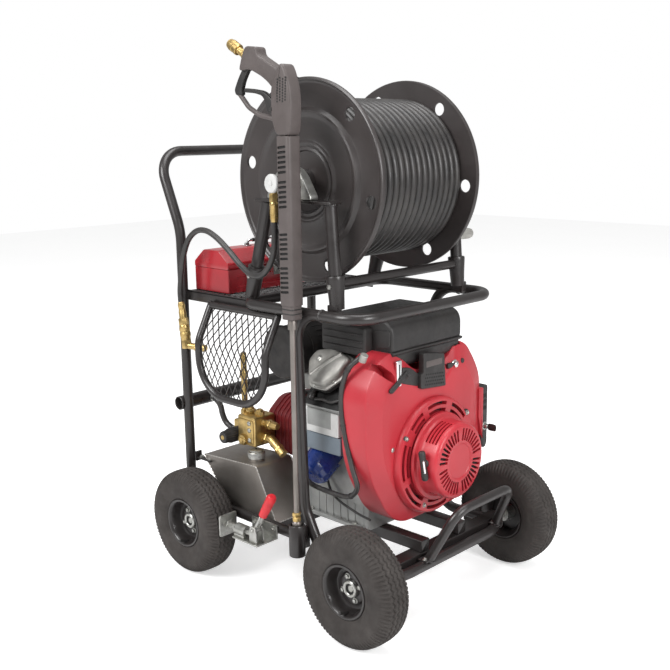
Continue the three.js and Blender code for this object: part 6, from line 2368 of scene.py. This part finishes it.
class WASHER_OT_controls(bpy.types.Operator):
    """Control box with its key, and the throttle lever"""

    bl_idname = "washer.controls"
    bl_label = "Controls"

    def execute(self, context):
        low, high = span("control_box")
        shape = Shape()
        face = [
            (low[1] + 1, 340), (low[1] + 1, 470), (high[1] - 3, 478), (high[1], 470), (high[1], 326),
            (high[1] - 8, 314), (low[1] + 8, 316),
        ]
        plate(shape, softened(face, 6), "x", low[0], high[0] - 2, 2)
        plate(
            shape,
            softened([(low[1] - 14, 400), (low[1] - 14, 474), (low[1] + 4, 474), (low[1] + 4, 340)], 4), "x",
            low[0] + 6, high[0] + 1, 1.4, slot=1,
        )
        # Three near-black strips: painted shade in the panel's slots.
        for height in (446, 430, 414):
            block(
                shape, (high[0] - 3, low[1] + 6, height), (high[0] - 0.6, high[1] - 6, height + 9), 0.6, 1.5,
                "x", slot=2,
            )
        key = core("ignition_key")
        turn(
            shape, [(7, 0), (11, 0), (11, 2), (9, 3.4), (7, 3.4), (7, 0)], (high[0] - 2.4, key[1], key[2]), X,
            36, slot=3,
        )
        block(shape, (low[0] + 2, high[1] - 2, 320), (high[0] - 8, high[1] + 2, 470), 1.4, 3, "y", slot=1)
        names = finish("moulded_black", "moulded_red", "painted_shade", "zinc_plate")
        piece("control_panel", shape, names, "cart", ["control_box"])
        low, high = span("ignition_key")
        shape = Shape()
        rod(shape, (low[0], key[1], key[2]), (low[0] + 10, key[1], key[2]), 5.8, 28, slot=1)
        blade = softened(rectangle(low[0] + 9, high[0], key[2] - 9, key[2] + 9), 7)
        plate(shape, blade, "y", key[1] - 1.5, key[1] + 1.5, 0.7)
        piece("key_blade", shape, finish("moulded_black", "zinc_plate"), "key", ["ignition_key"])
        low, high = span("throttle_lever")
        pivot = np.array((low[0], -96, 566))
        shape = Shape()
        turn(shape, [(0, 0), (8, 0), (9, 1), (9, 7), (8, 8), (0, 8)], pivot, X, 32)
        bolt(shape, pivot + (7.8, 0, 0), X, 4, 2.6)
        arm = [
            (pivot[1] - 4, pivot[2] - 7), (pivot[1] - 50, pivot[2] - 34), (pivot[1] - 58, pivot[2] - 31),
            (pivot[1] - 58, pivot[2] - 25), (pivot[1] - 5, pivot[2] + 7),
        ]
        plate(shape, softened(arm, 4), "x", pivot[0] + 1.4, pivot[0] + 6.8, 1.2)
        piece("throttle_arm", shape, finish("moulded_black", "zinc_plate"), "throttle", ["throttle_lever"])
        return {"FINISHED"}


# ---------------------------------------------------------------- camera, floor and light


class WASHER_OT_stage(bpy.types.Operator):
    """Camera, plain pale floor and soft light"""

    bl_idname = "washer.stage"
    bl_label = "Stage"

    def execute(self, context):
        azimuth, elevation, roll = (math.radians(angle) for angle in (44.2336, 11.7774, -0.7848))
        back = np.array(
            (
                math.sin(azimuth) * math.cos(elevation), -math.cos(azimuth) * math.cos(elevation),
                math.sin(elevation),
            )
        )
        right = np.array((math.cos(azimuth), math.sin(azimuth), 0))
        up = np.cross(back, right)
        turned = math.cos(roll) * right + math.sin(roll) * up
        upright = -math.sin(roll) * right + math.cos(roll) * up
        lens = bpy.data.cameras.new("camera")
        lens.sensor_width = 36
        lens.lens = 51.96
        camera = bpy.data.objects.new("camera", lens)
        place = np.array((1.6089, -1.7063, 1.0952)) + SHIFT
        camera.matrix_world = Matrix([
            (turned[0], upright[0], back[0], place[0]),
            (turned[1], upright[1], back[1], place[1]),
            (turned[2], upright[2], back[2], place[2]),
            (0, 0, 0, 1),
        ])
        bpy.context.collection.objects.link(camera)
        bpy.context.scene.camera = camera
        floor = Shape()
        floor.grid(np.array([[(-9000.0, -9000, 0), (-9000, 9000, 0)], [(9000, -9000, 0), (9000, 9000, 0)]]))
        mesh = bpy.data.meshes.new("floor")
        mesh.from_pydata(
            (np.concatenate(floor.points) * MM).tolist(), [],
            [face for quads in floor.quads for face in quads.tolist()],
        )
        plain = Finish("floor")
        plain.colour(plain.noise(2), [(0.3, (0.86, 0.86, 0.86)), (0.7, (0.88, 0.88, 0.88))])
        mesh.materials.append(plain.set(Roughness=0.9).material)
        seen = plain.nodes.new("ShaderNodeLightPath").outputs["Is Camera Ray"]
        glow = plain.nodes.new("ShaderNodeMath")
        glow.operation = "MULTIPLY"
        glow.inputs[1].default_value = 0.52
        plain.links.new(seen, glow.inputs[0])
        plain.links.new(glow.outputs["Value"], plain.shader.inputs["Emission Strength"])
        plain.set(Emission_Color=(1, 1, 1, 1))
        ground = bpy.data.objects.new("floor", mesh)
        bpy.context.collection.objects.link(ground)
        world = bpy.data.worlds.new("studio")
        world.use_nodes = True
        nodes, links = world.node_tree.nodes, world.node_tree.links
        nodes["Background"].inputs["Color"].default_value = (1, 1, 1, 1)
        nodes["Background"].inputs["Strength"].default_value = 0.45
        white, choice, ray = (
            nodes.new(f"ShaderNode{kind}") for kind in ("Background", "MixShader", "LightPath")
        )
        white.inputs["Color"].default_value = (1, 1, 1, 1)
        links.new(ray.outputs["Is Camera Ray"], choice.inputs["Fac"])
        links.new(nodes["Background"].outputs["Background"], choice.inputs[1])
        links.new(white.outputs["Background"], choice.inputs[2])
        links.new(choice.outputs["Shader"], nodes["World Output"].inputs["Surface"])
        bpy.context.scene.world = world
        for name, spot, aim, size, power in (
            ("key", (-0.6, -3.2, 3.0), (0, 0, 0.5), 1.8, 130),
            ("front", (3.4, -0.4, 2.0), (0, 0, 0.6), 1.4, 80),
            ("top", (0.2, 0.2, 4.2), (0, 0, 0), 2.4, 90),
        ):
            light = bpy.data.lights.new(name, "AREA")
            light.size = size
            light.energy = power
            lamp = bpy.data.objects.new(name, light)
            ahead = unit(np.array(spot, float) - aim)
            across, lift, _ = basis(ahead)
            lamp.matrix_world = Matrix(
                [
                    (*row, place)
                    for row, place in zip(np.stack((across, lift, ahead), axis=1).tolist(), spot)
                ] + [(0, 0, 0, 1)]
            )
            bpy.context.collection.objects.link(lamp)
        bpy.context.scene.view_settings.view_transform = "Standard"
        return {"FINISHED"}


# ---------------------------------------------------------------- add-on

STEPS = (
    WASHER_OT_stage, WASHER_OT_wheels, WASHER_OT_frame, WASHER_OT_shelf, WASHER_OT_reel, WASHER_OT_feed,
    WASHER_OT_gun,
    WASHER_OT_toolbox, WASHER_OT_pump, WASHER_OT_tank, WASHER_OT_brake, WASHER_OT_engine, WASHER_OT_muffler,
    WASHER_OT_controls,
)


class WASHER_PT_panel(bpy.types.Panel):
    """Sizes, colours and the steps that build the washer"""

    bl_label = "Pressure washer"
    bl_idname = "WASHER_PT_panel"
    bl_space_type = "VIEW_3D"
    bl_region_type = "UI"
    bl_category = "Washer"

    def draw(self, context):
        for group in (sizes(), colours()):
            for name in group.__annotations__:
                self.layout.prop(group, name)
        for step in STEPS:
            self.layout.operator(step.bl_idname)


CLASSES = (WasherSizes, WasherColours, *STEPS, WASHER_PT_panel)


def register():
    for each in CLASSES:
        bpy.utils.register_class(each)
    bpy.types.Scene.washer_sizes = PointerProperty(type=WasherSizes)
    bpy.types.Scene.washer_colours = PointerProperty(type=WasherColours)


def unregister():
    del bpy.types.Scene.washer_colours
    del bpy.types.Scene.washer_sizes
    for each in reversed(CLASSES):
        bpy.utils.unregister_class(each)


def main():
    """Registers the add-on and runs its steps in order."""
    register()
    for step in STEPS:
        family, name = step.bl_idname.split(".")
        getattr(getattr(bpy.ops, family), name)()


if __name__ == "__main__":
    main()
